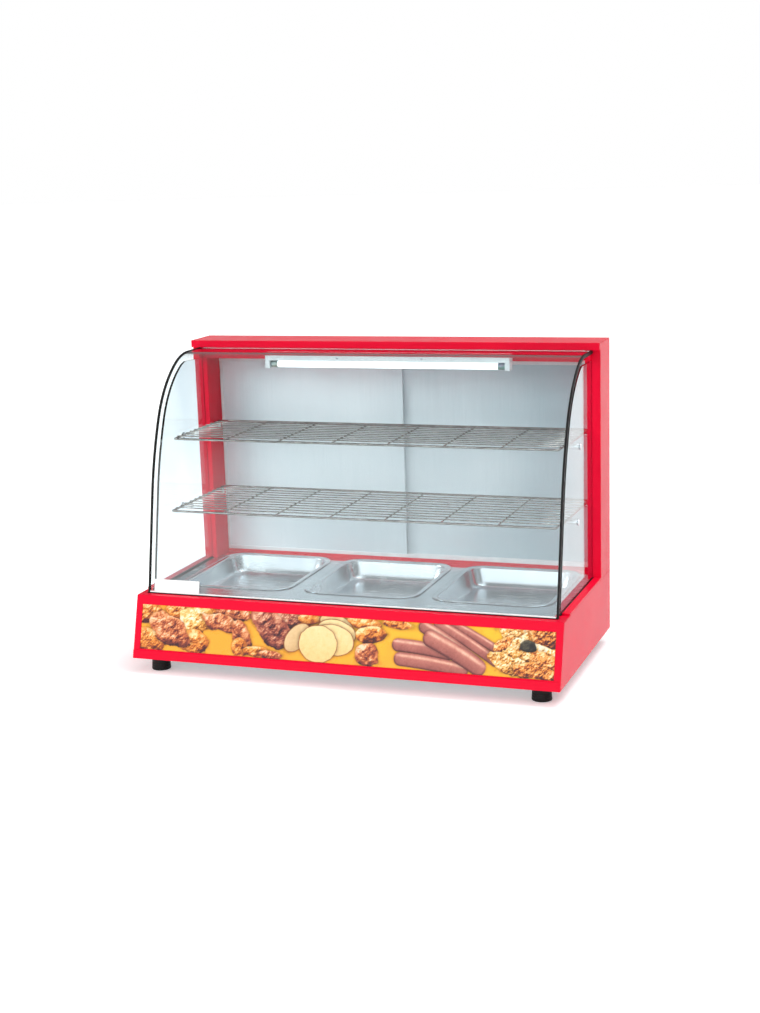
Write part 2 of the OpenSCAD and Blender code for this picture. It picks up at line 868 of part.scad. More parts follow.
// ---------- lamp ----------

module lamp_batten() color(white) {
    half = batten_w / 2;
    d0 = post_d0 - batten_depth;
    difference() {
        block(-half, half, d0, post_d0, batten_z0, batten_z0 + batten_h);
        block(-half + 2, half - 2, d0 + 1, post_d0 - 1, batten_z0 + 1, batten_z0 + batten_h - 1);
        rod_y(feed_x, post_d0 - 3, post_d0 + 1, feed_z, loom_r);
    }
}

module lamp_ballast() color("lightgray") {
    x0 = -100;
    block(x0, x0 + 180, post_d0 - batten_depth + 3, post_d0 - 3, batten_z0 + 1, batten_z0 + 9);
}

// Lampholder with an entry slot below its rotor chamber
module lamp_holder() {
    x0 = batten_w / 2 - holder_w;
    difference() {
        block(x0, x0 + holder_w, tube_d - 11, tube_d + 11, tube_z - tube_r - 1, batten_z0);
        rod_x(x0 - 1, x0 + 7.6, tube_d, tube_z, pin_pitch / 2 + pin_r + 0.4);
        block(x0 - 1, x0 + 7.6, tube_d - pin_r - 0.3, tube_d + pin_r + 0.3, tube_z - 20, tube_z);
    }
}

module lamp_holder_right() color(white) lamp_holder();

module lamp_holder_left() color(white) mirror([1, 0, 0]) lamp_holder();

// Fluorescent tube with its end caps and contact pins
module lamp_tube() {
    glass_half = tube_half - cap_len;
    color(white)
        difference() {
            rod_x(-glass_half, glass_half, tube_d, tube_z, tube_r);
            rod_x(-glass_half + 1, glass_half - 1, tube_d, tube_z, tube_r - 0.8);
        }
    both_sides() color(steel) {
        rod_x(glass_half, tube_half, tube_d, tube_z, tube_r);
        for (s = [-1, 1])
            rod_x(tube_half, tube_half + 6.8, tube_d, tube_z + s * pin_pitch / 2, pin_r);
    }
}

// ---------- doors ----------

module door(d0, pull) {
    x0 = -door_edge_x;
    skin = 1;
    difference() {
        block(x0, door_overlap, d0, d0 + door_t, door_z0, door_z1);
        rod_y(pull, d0 + skin, d0 + door_t + 1, pull_z, pull_r);
    }
}

module door_left() color("lightsteelblue") door(door_front_d, -pull_x);

module door_right() color("lightsteelblue")
    mirror([1, 0, 0]) door(door_front_d + door_pitch, -pull_x);

// Finger cup let into the outer face of a door
module door_pull(x, d0) {
    wall = 1;
    flange = 4;
    flange_t = 1.5;
    difference() {
        union() {
            rod_y(x, d0 + 1.2, d0 + door_t, pull_z, pull_r);
            rod_y(x, d0 + door_t, d0 + door_t + flange_t, pull_z, pull_r + flange);
        }
        rod_y(x, d0 + 1.2 + wall, d0 + door_t + 2, pull_z, pull_r - 1.8);
    }
}

module door_pull_left() color(black) door_pull(-pull_x, door_front_d);

module door_pull_right() color(black) door_pull(pull_x, door_front_d + door_pitch);

// ---------- feet and fasteners ----------

module feet() color(black) {
    for (sx = [-1, 1])
        for (d = foot_d)
            difference() {
                translate([sx * foot_x, front_y + d, 0]) cylinder(h = foot_h, r1 = foot_r, r2 = foot_r - 2);
                rod_z(sx * foot_x, d, -1, 8, 7);
                rod_z(sx * foot_x, d, 5, foot_h + 1, foot_screw_r);
            }
}

// Foot screws with their nuts, and the screws that hold the rear panel and the posts
module fasteners() color(steel) {
    floor_z = base_z + 2 * sheet + 0.1;
    for (sx = [-1, 1]) {
        for (d = foot_d) {
            rod_z(sx * foot_x, d, 8, floor_z + 8, foot_screw_r);
            rod_z(sx * foot_x, d, 4.5, 8, 5.5);
            translate([sx * foot_x, front_y + d, floor_z]) cylinder(h = 5, r = 5.5, $fn = 6);
        }
        for (z = [base_z + 12, base_top - 12, base_top + 40, base_top + 240, top_z - 40])
            rod_y(sx * (half_w - 8), cabinet_d, cabinet_d + 2, z, 3.5);
    }
}

front_fascia();
kick_rail();
picture_panel();
side_panel_left();
side_panel_right();
rear_panel();
bottom_panel();
deck();
rear_sill();
heater_tray();
heating_element_left();
heating_element_right();
element_clips();
thermostat();
thermostat_bulb();
power_switch();
lamp_switch();
indicator_lamps();
terminal_block();
lamp_ballast();
wiring();
cable_gland();
post_left();
post_right();
top_beam();
top_cap();
glass_bracket_left();
glass_bracket_right();
door_track_lower();
door_track_upper();
door_jambs();
front_glass();
front_gasket();
glass_edge_left();
glass_edge_right();
side_glass_left();
side_glass_right();
side_gaskets();
side_channel_left();
side_channel_right();
shelf_pegs();
lamp_batten();
lamp_holder_left();
lamp_holder_right();
label_plate();
feet();
fasteners();
door_left();
door_right();
door_pull_left();
door_pull_right();
shelf_upper();
shelf_lower();
pan_left();
pan_middle();
pan_right();
lamp_tube();
thermostat_knob();
power_rocker();
lamp_rocker();
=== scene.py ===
import json
import math

import bpy
import numpy as np
from mathutils import Matrix, Vector


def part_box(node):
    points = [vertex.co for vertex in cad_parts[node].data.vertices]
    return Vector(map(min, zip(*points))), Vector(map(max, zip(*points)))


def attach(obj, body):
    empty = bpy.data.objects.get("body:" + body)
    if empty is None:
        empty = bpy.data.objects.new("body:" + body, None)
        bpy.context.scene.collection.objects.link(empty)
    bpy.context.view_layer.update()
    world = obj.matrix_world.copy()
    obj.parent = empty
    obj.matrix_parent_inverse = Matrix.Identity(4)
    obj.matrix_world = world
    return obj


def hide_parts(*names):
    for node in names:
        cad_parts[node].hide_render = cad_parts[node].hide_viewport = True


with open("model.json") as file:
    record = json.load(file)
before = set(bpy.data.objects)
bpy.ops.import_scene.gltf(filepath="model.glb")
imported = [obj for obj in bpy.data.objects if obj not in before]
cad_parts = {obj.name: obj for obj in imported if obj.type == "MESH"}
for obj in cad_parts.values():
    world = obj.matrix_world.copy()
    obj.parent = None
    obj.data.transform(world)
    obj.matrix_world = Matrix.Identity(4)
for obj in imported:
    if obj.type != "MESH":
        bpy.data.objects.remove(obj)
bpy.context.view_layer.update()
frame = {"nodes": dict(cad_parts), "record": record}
MM = 0.001
NODES = frame["nodes"]
SLOT_OF = {s["node"]: s["material_slot"] for s in frame["record"]["subparts"]}
FRONT_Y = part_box("kick_rail")[0].y / MM          # the front edge of the base, mm in the row frame

# ---------------------------------------------------------------- camera, light and floor


def make_camera():
    """The photograph's viewpoint: the camera's axes, its place in metres and its lens."""
    data = bpy.data.cameras.new("camera")
    camera = bpy.data.objects.new("camera", data)
    bpy.context.scene.collection.objects.link(camera)
    right = (0.93435321, 0.35446452, -0.03659222)
    up = (-0.04332131, 0.21491405, 0.97567167)
    back = (0.35370517, -0.91003673, 0.2161615)
    place = (1.16898, -3.21178, 1.04975)
    camera.matrix_world = Matrix([(right[i], up[i], back[i], place[i]) for i in range(3)] + [(0, 0, 0, 1)])
    data.sensor_width = 36
    data.lens = 60.218
    data.shift_x = 0.0432
    data.shift_y = 0.0133
    data.clip_start = 0.05
    data.clip_end = 60
    bpy.context.scene.camera = camera


def area_light(name, place, target, width, height, power):
    """A soft box in metres and watts that faces its target."""
    data = bpy.data.lights.new(name, "AREA")
    data.shape = "RECTANGLE"
    data.size = width
    data.size_y = height
    data.energy = power
    lamp = bpy.data.objects.new(name, data)
    bpy.context.scene.collection.objects.link(lamp)
    lamp.location = place
    lamp.rotation_euler = (Vector(target) - Vector(place)).to_track_quat("-Z", "Y").to_euler()


def make_light():
    """A pale studio whose brightness changes smoothly with direction, and three soft boxes."""
    world = bpy.data.worlds.new("studio")
    bpy.context.scene.world = world
    world.use_nodes = True
    tree = world.node_tree
    tree.nodes.clear()
    out = tree.nodes.new("ShaderNodeOutputWorld")
    glow = tree.nodes.new("ShaderNodeBackground")
    way = tree.nodes.new("ShaderNodeTexCoord")
    split = tree.nodes.new("ShaderNodeSeparateXYZ")
    glow.inputs["Color"].default_value = (1, 1, 1, 1)
    tree.links.new(way.outputs["Generated"], split.inputs[0])

    def share(axis, start, end, low, high):
        node = tree.nodes.new("ShaderNodeMapRange")
        node.interpolation_type = "SMOOTHSTEP"
        for socket, value in (("From Min", start), ("From Max", end), ("To Min", low), ("To Max", high)):
            node.inputs[socket].default_value = value
        tree.links.new(split.outputs[axis], node.inputs["Value"])
        return node.outputs[0]

    def join(a, b, kind):
        node = tree.nodes.new("ShaderNodeMath")
        node.operation = kind
        tree.links.new(a, node.inputs[0])
        tree.links.new(b, node.inputs[1])
        return node.outputs[0]

    # a white horizon with a dim band above it, a bright ceiling to the right, and a bright wall in front
    ceiling = join(share("Z", 0.5, 0.85, 0.0, 1.6), share("X", -0.2, 0.1, 0.0, 1.0), "MULTIPLY")
    total = join(share("Z", 0.085, 0.15, 1.0, 0.2), share("Y", -0.93, -0.72, 1.7, 0.0), "ADD")
    total = join(total, ceiling, "ADD")
    tree.links.new(total, glow.inputs["Strength"])
    tree.links.new(glow.outputs[0], out.inputs["Surface"])
    area_light("key", (-3.0, -1.9, 1.9), (0, 0, 0.3), 1.6, 1.6, 57)
    area_light("front", (1.6, -3.2, 2.6), (0, 0.1, 0.4), 1.4, 1.4, 5)
    area_light("top", (1.0, 0.3, 2.8), (0, 0, 0), 1.6, 1.4, 30)


# ---------------------------------------------------------------- material graphs


def linear(code):
    """A hex colour as linear red, green, blue and 1."""
    parts = [int(code[i:i + 2], 16) / 255 for i in (0, 2, 4)]
    return (*[c / 12.92 if c <= 0.04045 else ((c + 0.055) / 1.055) ** 2.4 for c in parts], 1.0)


class Graph:
    """One Principled material and short calls for its nodes."""

    def __init__(self, name, **constants):
        self.material = bpy.data.materials.new(name)
        self.material.use_nodes = True
        self.tree = self.material.node_tree
        self.tree.nodes.clear()
        self.out = self.tree.nodes.new("ShaderNodeOutputMaterial")
        self.bsdf = self.tree.nodes.new("ShaderNodeBsdfPrincipled")
        self.tree.links.new(self.bsdf.outputs[0], self.out.inputs["Surface"])
        self.place = self.tree.nodes.new("ShaderNodeTexCoord").outputs["Object"]
        for socket, value in constants.items():
            self.bsdf.inputs[socket.replace("_", " ")].default_value = value

    def feed(self, socket, value):
        if isinstance(value, bpy.types.NodeSocket):
            self.tree.links.new(value, socket)
        else:
            socket.default_value = value

    def set(self, socket, value):
        self.feed(self.bsdf.inputs[socket], value)

    def scaled(self, factors):
        node = self.tree.nodes.new("ShaderNodeMapping")
        self.feed(node.inputs["Vector"], self.place)
        node.inputs["Scale"].default_value = factors
        return node.outputs[0]

    def times(self, value, factor):
        return self.calc(value, factor, "MULTIPLY")

    def axis(self, vector, name):
        """One axis of a vector."""
        node = self.tree.nodes.new("ShaderNodeSeparateXYZ")
        self.feed(node.inputs[0], vector)
        return node.outputs[name]

    def noise(self, scale, detail=3.0, rough=0.5, where=None):
        node = self.tree.nodes.new("ShaderNodeTexNoise")
        self.feed(node.inputs["Vector"], where or self.place)
        node.inputs["Scale"].default_value = scale
        node.inputs["Detail"].default_value = detail
        node.inputs["Roughness"].default_value = rough
        return node.outputs["Fac"]

    def cells(self, scale, output="Color"):
        node = self.tree.nodes.new("ShaderNodeTexVoronoi")
        self.feed(node.inputs["Vector"], self.place)
        node.inputs["Scale"].default_value = scale
        return node.outputs[output]

    def ramp(self, value, low, high, start=0.3, end=0.7):
        """Maps value from start..end to low..high, for numbers or colours."""
        if isinstance(low, (int, float)):
            node = self.tree.nodes.new("ShaderNodeMapRange")
            self.feed(node.inputs["Value"], value)
            for name, number in (("From Min", start), ("From Max", end), ("To Min", low), ("To Max", high)):
                node.inputs[name].default_value = number
            return node.outputs[0]
        node = self.tree.nodes.new("ShaderNodeValToRGB")
        self.feed(node.inputs["Fac"], value)
        for stop, at, colour in ((0, start, low), (1, end, high)):
            node.color_ramp.elements[stop].position = at
            node.color_ramp.elements[stop].color = colour
        return node.outputs["Color"]

    def mix(self, share, a, b, blend="MIX"):
        node = self.tree.nodes.new("ShaderNodeMix")
        node.data_type = "RGBA"
        node.blend_type = blend
        self.feed(node.inputs["Factor"], share)
        self.feed(node.inputs[6], a)
        self.feed(node.inputs[7], b)
        return node.outputs[2]

    def calc(self, a, b, kind="ADD"):
        node = self.tree.nodes.new("ShaderNodeMath")
        node.operation = kind
        self.feed(node.inputs[0], a)
        self.feed(node.inputs[1], b)
        return node.outputs[0]

    def bump(self, height, depth, strength=1.0):
        """depth is the relief's height in metres."""
        node = self.tree.nodes.new("ShaderNodeBump")
        node.inputs["Strength"].default_value = strength
        node.inputs["Distance"].default_value = depth
        self.feed(node.inputs["Height"], height)
        self.set("Normal", node.outputs[0])


def red_paint():
    """Powder coat with a fine orange-peel surface."""
    g = Graph("red_powder_coat", Specular_IOR_Level=0.07)
    cloud = g.noise(5, 3, 0.6)
    g.set("Base Color", g.ramp(cloud, linear("db0c30"), linear("e20c30")))
    g.set("Roughness", g.ramp(g.noise(30, 4, 0.6), 0.2, 0.27))
    g.bump(g.noise(620, 2, 0.5), 0.00002, 0.3)
    return g.material


def white_paint():
    g = Graph("white_paint")
    g.set("Base Color", g.ramp(g.noise(9, 3), linear("e8ecee"), linear("f6f8f8")))
    g.set("Roughness", g.ramp(g.noise(60, 3), 0.22, 0.34))
    g.bump(g.noise(380, 2), 0.00004, 0.5)
    return g.material


def sheet_metal(name, code_a, code_b, rough, stretch, grain=260.0, depth=0.00003):
    """Brushed metal, with its grain drawn out along the axis of the smallest stretch factor."""
    g = Graph(name, Metallic=1.0)
    lines = g.noise(grain, 4, 0.65, g.scaled(stretch))
    cloud = g.noise(8, 3, 0.55)
    tone = g.calc(cloud, g.times(lines, 0.25))
    g.set("Base Color", g.ramp(tone, linear(code_a), linear(code_b), 0.4, 0.85))
    g.set("Roughness", g.ramp(g.calc(lines, cloud), rough, rough + 0.14, 0.7, 1.3))
    g.bump(lines, depth, 0.35)
    return g.material


def galvanised():
    """Zinc-coated sheet with its crystal pattern."""
    g = Graph("galvanised_sheet", Metallic=1.0)
    spangle = g.cells(70)
    tone = g.noise(120, 2)
    g.set("Base Color", g.mix(0.28, g.ramp(tone, linear("9aa0a4"), linear("c3c8cb")), spangle, "SOFT_LIGHT"))
    g.set("Roughness", g.ramp(g.cells(70, "Distance"), 0.32, 0.55, 0.0, 0.7))
    g.bump(g.noise(300, 2), 0.00003, 0.4)
    return g.material


def chrome():
    """Dull, slightly uneven plating on wire."""
    g = Graph("chrome_wire", Metallic=1.0)
    g.set("Base Color", g.ramp(g.noise(60, 4, 0.6), linear("86817c"), linear("b8b3ae")))
    g.set("Roughness", g.ramp(g.noise(240, 3), 0.12, 0.26))
    g.bump(g.noise(900, 2), 0.00002, 0.4)
    return g.material


def pane_glass(name, edge_axis, clear_code, edge_code):
    """Float glass: clear through its faces, green at its cut edges, and it lets light through its shadow."""
    g = Graph(name, Transmission_Weight=1.0, IOR=1.45)
    facing = g.axis(g.tree.nodes.new("ShaderNodeNewGeometry").outputs["Normal"], edge_axis)
    side = g.times(facing, facing)
    smear = g.noise(5, 3, 0.5, g.scaled((1, 1, 0.35)))
    clear = g.ramp(smear, linear(clear_code), linear("f1f8fa"), 0.35, 0.6)
    g.set("Base Color", g.mix(g.ramp(side, 0.0, 1.0, 0.2, 0.8), clear, linear(edge_code)))
    g.set("Roughness", g.ramp(g.noise(16, 3), 0.0, 0.012, 0.5, 0.8))
    path = g.tree.nodes.new("ShaderNodeLightPath")
    pass_on = g.tree.nodes.new("ShaderNodeBsdfTransparent")
    pass_on.inputs["Color"].default_value = (0.95, 0.975, 0.972, 1)
    swap = g.tree.nodes.new("ShaderNodeMixShader")
    g.feed(swap.inputs[0], path.outputs["Is Shadow Ray"])
    g.feed(swap.inputs[1], g.bsdf.outputs[0])
    g.feed(swap.inputs[2], pass_on.outputs[0])
    g.feed(g.out.inputs["Surface"], swap.outputs[0])
    return g.material


def moulded(name, code_a, code_b, rough, grain=700, depth=0.00006, **constants):
    g = Graph(name, **constants)
    g.set("Base Color", g.ramp(g.noise(30, 3), linear(code_a), linear(code_b)))
    g.set("Roughness", g.ramp(g.noise(90, 3), rough, rough + 0.15))
    g.bump(g.noise(grain, 2), depth, 0.5)
    return g.material


def door_sheet():
    """Pale satin sliding door: soft upright grain, a slow random change of tone, and painted reflection and
    light that make the door lighter to the left and towards the top.
    """
    g = Graph("door_sheet")
    grain = g.noise(90, 4, 0.6, g.scaled((6, 1, 0.12)))
    slow = g.noise(2.1, 2, 0.5)
    # painted reflection and light: by its position the door's colour turns lighter to the left and towards
    # the top
    painted_light = g.calc(g.times(g.axis(g.place, "X"), -0.6), g.times(g.axis(g.place, "Z"), 0.25))
    tone = g.calc(slow, g.calc(painted_light, g.times(grain, 0.18)))
    g.set("Base Color", g.ramp(tone, linear("b9c8ce"), linear("f4f8fa"), 0.42, 0.92))
    g.set("Roughness", g.ramp(grain, 0.3, 0.42))
    g.bump(grain, 0.000002, 0.1)
    return g.material


def print_film():
    """Glossy printed film: the picture is in the panel's colour attribute."""
    g = Graph("printed_film", Coat_Weight=0.12, Coat_Roughness=0.06, Specular_IOR_Level=0.3)
    picture = g.tree.nodes.new("ShaderNodeAttribute")
    picture.attribute_name = "ink"
    ink = picture.outputs["Color"]
    grain = g.ramp(g.noise(900, 2), linear("dcd8d2"), linear("ffffff"))
    g.set("Base Color", g.mix(0.35, ink, g.mix(1.0, ink, grain, "MULTIPLY")))
    g.set("Roughness", g.ramp(g.noise(50, 3), 0.24, 0.36))
    g.bump(g.noise(260, 2), 0.00002, 0.3)
    return g.material


def make_materials():
    """One material for each of the record's slots."""
    return {
        "red_paint": red_paint(),
        "printed_panel": print_film(),
        "galvanised_steel": galvanised(),
        "stainless_steel": sheet_metal("stainless_brushed", "bfc6cb", "dde2e5", 0.17, (0.05, 1, 1)),
        "heater_sheath": sheet_metal("heater_sheath", "3a3634", "6a625c", 0.35, (1, 1, 1), 300, 0.0001),
        "black_plastic": moulded("black_plastic", "121315", "232427", 0.35),
        "copper": sheet_metal("copper", "9c5a38", "c98358", 0.25, (1, 1, 1)),
        "lens_amber": moulded("amber_lens", "e0650c", "f59a2c", 0.1, 200, Transmission_Weight=0.4),
        "ceramic_white": moulded("glazed_ceramic", "d8d4c8", "ece9df", 0.18, 240),
        "white_plastic": moulded("white_plastic", "e6e9ea", "f5f6f6", 0.3),
        "white_paint": white_paint(),
        "cable_grey": moulded("cable_sleeve", "3a3b3e", "55565a", 0.45),
        "clear_glass": pane_glass("glass_side", "Y", "dfebf1", "9fd6c6"),
        "black_rubber": moulded("black_rubber", "030304", "0b0c0d", 0.42, 500, Specular_IOR_Level=0.25),
        "door_steel": door_sheet(),
        "chrome_wire": chrome(),
        "tube_glass": moulded("tube_phosphor", "f2f5f7", "fdfefe", 0.12, 160, 0.00002,
                              Emission_Color=(1, 1, 1, 1), Emission_Strength=1.3),
        "rocker_red": moulded("rocker_red", "b01414", "d22020", 0.2),
        "rocker_green": moulded("rocker_green", "0f7a32", "1c9a45", 0.2),
    }


# ---------------------------------------------------------------- mesh helpers, in millimetres


class Shape:
    """Collects vertices and faces in millimetres, in the row frame."""

    def __init__(self):
        self.points = []
        self.faces = []

    def loft(self, rings, closed=True, loop=False, caps=(True, True)):
        """Quads between rings of equal length.

        closed joins each ring's two ends, and loop joins the last ring to the first.
        """
        base = len(self.points)
        n = len(rings[0])
        for ring in rings:
            self.points.extend([tuple(p) for p in ring])
        count = len(rings)
        for i in range(count if loop else count - 1):
            j = (i + 1) % count
            for k in range(n if closed else n - 1):
                m = (k + 1) % n
                self.faces.append((base + i * n + k, base + i * n + m, base + j * n + m, base + j * n + k))
        if not loop and closed:
            if caps[0]:
                self.faces.append(tuple(base + k for k in reversed(range(n))))
            if caps[1]:
                self.faces.append(tuple(base + (count - 1) * n + k for k in range(n)))
        return self

    def lathe(self, profile, origin, axis=(0, 0, 1), sides=40, shape=None, loop=False):
        """Turns (radius, height) points about an axis. shape(angle, i) scales the radius of ring i."""
        turn = Vector((0, 0, 1)).rotation_difference(Vector(axis)).to_matrix()
        rings = []
        for i, (radius, height) in enumerate(profile):
            ring = []
            for k in range(sides):
                angle = 2 * math.pi * k / sides
                r = radius * (shape(angle, i) if shape else 1.0)
                point = Vector((r * math.cos(angle), r * math.sin(angle), height))
                ring.append(turn @ point + Vector(origin))
            rings.append(ring)
        return self.loft(rings, loop=loop)

    def tube(self, path, radius, sides=12, loop=False):
        """A round wire along a path, with softened ends."""
        path = [Vector(p) for p in path]
        count = len(path)
        rings = []
        normal = None
        for i, p in enumerate(path):
            before = path[i - 1] if (i or loop) else path[0]
            after = path[(i + 1) % count] if (i < count - 1 or loop) else path[-1]
            way = (after - before).normalized()
            if normal is None:
                guess = Vector((0, 0, 1)) if abs(way.z) < 0.9 else Vector((1, 0, 0))
                normal = (guess - way * guess.dot(way)).normalized()
            normal = (normal - way * normal.dot(way)).normalized()
            other = way.cross(normal)
            ends = [(0.0, 1.0)]
            if not loop and i == 0:
                ends = [(-0.35 * radius, 0.55), (-0.2 * radius, 0.85), (0.0, 1.0)]
            if not loop and i == count - 1:
                ends = [(0.0, 1.0), (0.2 * radius, 0.85), (0.35 * radius, 0.55)]
            for shift, part in ends:
                ring = []
                for k in range(sides):
                    a = 2 * math.pi * k / sides
                    out = normal * math.cos(a) + other * math.sin(a)
                    ring.append(p + way * shift + out * radius * part)
                rings.append(ring)
        return self.loft(rings, loop=loop)

    def box(self, lo, hi, edge):
        """A block with chamfered upright edges and top and bottom edges."""
        (x0, y0, z0), (x1, y1, z1) = lo, hi
        rings = []
        for z, inset in ((z0, edge), (z0 + edge, 0.0), (z1 - edge, 0.0), (z1, edge)):
            e = edge
            xa, xb, ya, yb = x0 + inset, x1 - inset, y0 + inset, y1 - inset
            rings.append([(xa + e, ya, z), (xb - e, ya, z), (xb, ya + e, z), (xb, yb - e, z),
                          (xb - e, yb, z), (xa + e, yb, z), (xa, yb - e, z), (xa, ya + e, z)])
        return self.loft(rings)

    def build(self, name, material, body, slot, replaces=(), sharp=38, modifiers=()):
        """Makes the piece in metres. sharp is the angle, in degrees, above which an edge stays crisp."""
        mesh = bpy.data.meshes.new(name)
        mesh.from_pydata([(x * MM, y * MM, z * MM) for x, y, z in self.points], [], self.faces)
        mesh.validate()
        mesh.update()
        mesh.shade_smooth()
        mesh.set_sharp_from_angle(angle=math.radians(sharp))
        piece = bpy.data.objects.new(name, mesh)
        bpy.context.scene.collection.objects.link(piece)
        mesh.materials.append(material)
        for kind, settings in modifiers:
            modifier = piece.modifiers.new(kind.lower(), kind)
            for key, value in settings.items():
                setattr(modifier, key, value)
        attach(piece, body)
        if replaces:
            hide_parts(*replaces)
        return piece


def row_y(d):
    """The row frame's Y of a depth counted back from the base's front edge."""
    return FRONT_Y + d


def box_mm(node):
    """The two corners of a CAD node's box in mm."""
    lo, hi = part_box(node)
    return [c / MM for c in lo], [c / MM for c in hi]


def rounded_ring(half_x, half_y, radius, centre, z, arc=10, side=6):
    """A level rounded rectangle, counted from the +X side round to +Y."""
    ring = []
    corners = ((1, 1, 0), (-1, 1, 90), (-1, -1, 180), (1, -1, 270))
    for i, (sx, sy, start) in enumerate(corners):
        cx, cy = sx * (half_x - radius), sy * (half_y - radius)
        for k in range(arc + 1):
            a = math.radians(start + 90 * k / arc)
            ring.append((centre[0] + cx + radius * math.cos(a), centre[1] + cy + radius * math.sin(a), z))
        nx, ny, _ = corners[(i + 1) % 4]
        a = math.radians(start + 90)
        here = (cx + radius * math.cos(a), cy + radius * math.sin(a))
        there = (nx * (half_x - radius) + radius * math.cos(a), ny * (half_y - radius) + radius * math.sin(a))
        for k in range(1, side):
            t = k / side
            ring.append((centre[0] + here[0] * (1 - t) + there[0] * t,
                         centre[1] + here[1] * (1 - t) + there[1] * t, z))
    return ring


# ---------------------------------------------------------------- front glass and its trims

# a flat foot that leans back, then three arcs: their first angles in degrees from upright, their radii in mm
LEAN, TURN, BEND = 11.0, 24.3, 60.0
STRAIGHT, R1, R2, R3 = 202.7, 690.0, 224.9, 129.0
GLASS_T = 5.0


def glass_path(end_d):
    """(depth, height, angle) along the outer face, from the foot to the level tail."""
    lo, _ = box_mm("front_glass")
    foot_d, foot_z = lo[1] - FRONT_Y, lo[2]
    path = []
    lean = math.radians(LEAN)
    for k in range(9):
        s = STRAIGHT * k / 8
        path.append((foot_d + s * math.sin(lean), foot_z + s * math.cos(lean), LEAN))
    for radius, start, end, steps in ((R1, LEAN, TURN, 16), (R2, TURN, BEND, 30), (R3, BEND, 90.0, 30)):
        d, z, _ = path[-1]
        for k in range(1, steps + 1):
            a, b = math.radians(start), math.radians(start + (end - start) * k / steps)
            path.append((d + radius * (math.cos(a) - math.cos(b)), z + radius * (math.sin(b) - math.sin(a)),
                         start + (end - start) * k / steps))
    d, z, _ = path[-1]
    for k in range(1, 4):
        path.append((d + (end_d - d) * k / 3, z, 90.0))
    return path


def glass_sweep(path, section):
    """Rings of a section of (x, inset) points carried along the glass's outer line."""
    rings = []
    for d, z, angle in path:
        a = math.radians(angle)
        rings.append([(x, row_y(d + inset * math.cos(a)), z - inset * math.sin(a)) for x, inset in section])
    return rings


def make_front_glass(material):
    """The bent pane, with its four long edges ground off."""
    hi = box_mm("front_glass")[1]
    x1, edge = hi[0], 0.7
    section = [(-x1, edge), (-x1 + edge, 0.0)]
    section += [(x1 * (k / 8 * 2 - 1), 0.0) for k in range(1, 8)]
    section += [(x1 - edge, 0.0), (x1, edge), (x1, GLASS_T - edge), (x1 - edge, GLASS_T)]
    section += [(x1 * (1 - k / 8 * 2), GLASS_T) for k in range(1, 8)]
    section += [(-x1 + edge, GLASS_T), (-x1, GLASS_T - edge)]
    end_d = hi[1] - FRONT_Y
    shape = Shape().loft(glass_sweep(glass_path(end_d), section))
    shape.build("front_glass_curved", material, "cabinet", "clear_glass", ["front_glass"])


def make_foot_bead(material):
    """The soft white bead in front of the glass's foot."""
    lo, hi = box_mm("front_glass")
    y, z = lo[1], lo[2]
    reach = hi[0] - 3
    rings = []
    for x in (-reach, -reach + 0.4, reach - 0.4, reach):
        cut = 0.3 if abs(x) == reach else 0.0
        rings.append([(x, y - 0.2, z + cut), (x, y - 2.2 + cut, z + 0.2 + cut), (x, y - 2.6 + cut, z + 1.0),
                      (x, y - 2.2 + cut, z + 2.2 - cut), (x, y - 0.7, z + 2.8 - cut),
                      (x, y + 0.3, z + 2.9 - cut)])
    Shape().loft(rings).build("glass_foot_bead", material, "cabinet", "white_plastic")


def make_glass_trims(material):
    """The black channels that are pushed over the glass's two curved ends."""
    wrap, lip, wall, play = 1.2, 0.7, 2.0, 0.05
    low, high = -wrap, GLASS_T + wrap
    for side, word in ((1, "right"), (-1, "left")):
        node = f"glass_edge_{word}"
        lo, hi = box_mm(node)
        a, b = (lo[0], hi[0]) if side > 0 else (-hi[0], -lo[0])
        inner = b - wall + play
        section = [(a, low + 0.3), (a + 0.3, low), (b - lip, low), (b - 0.2, low + 0.25), (b, low + lip),
                   (b, high - lip), (b - 0.2, high - 0.25), (b - lip, high), (a + 0.3, high), (a, high - 0.3),
                   (a, GLASS_T + play), (inner, GLASS_T + play), (inner, -play), (a, -play)]
        rings = glass_sweep(glass_path(hi[1] - FRONT_Y), section)
        if side < 0:
            rings = [[(-x, y, z) for x, y, z in reversed(ring)] for ring in rings]
        Shape().loft(rings).build(f"glass_trim_{word}", material, "cabinet", "black_rubber", [node], sharp=60)


# ---------------------------------------------------------------- pans


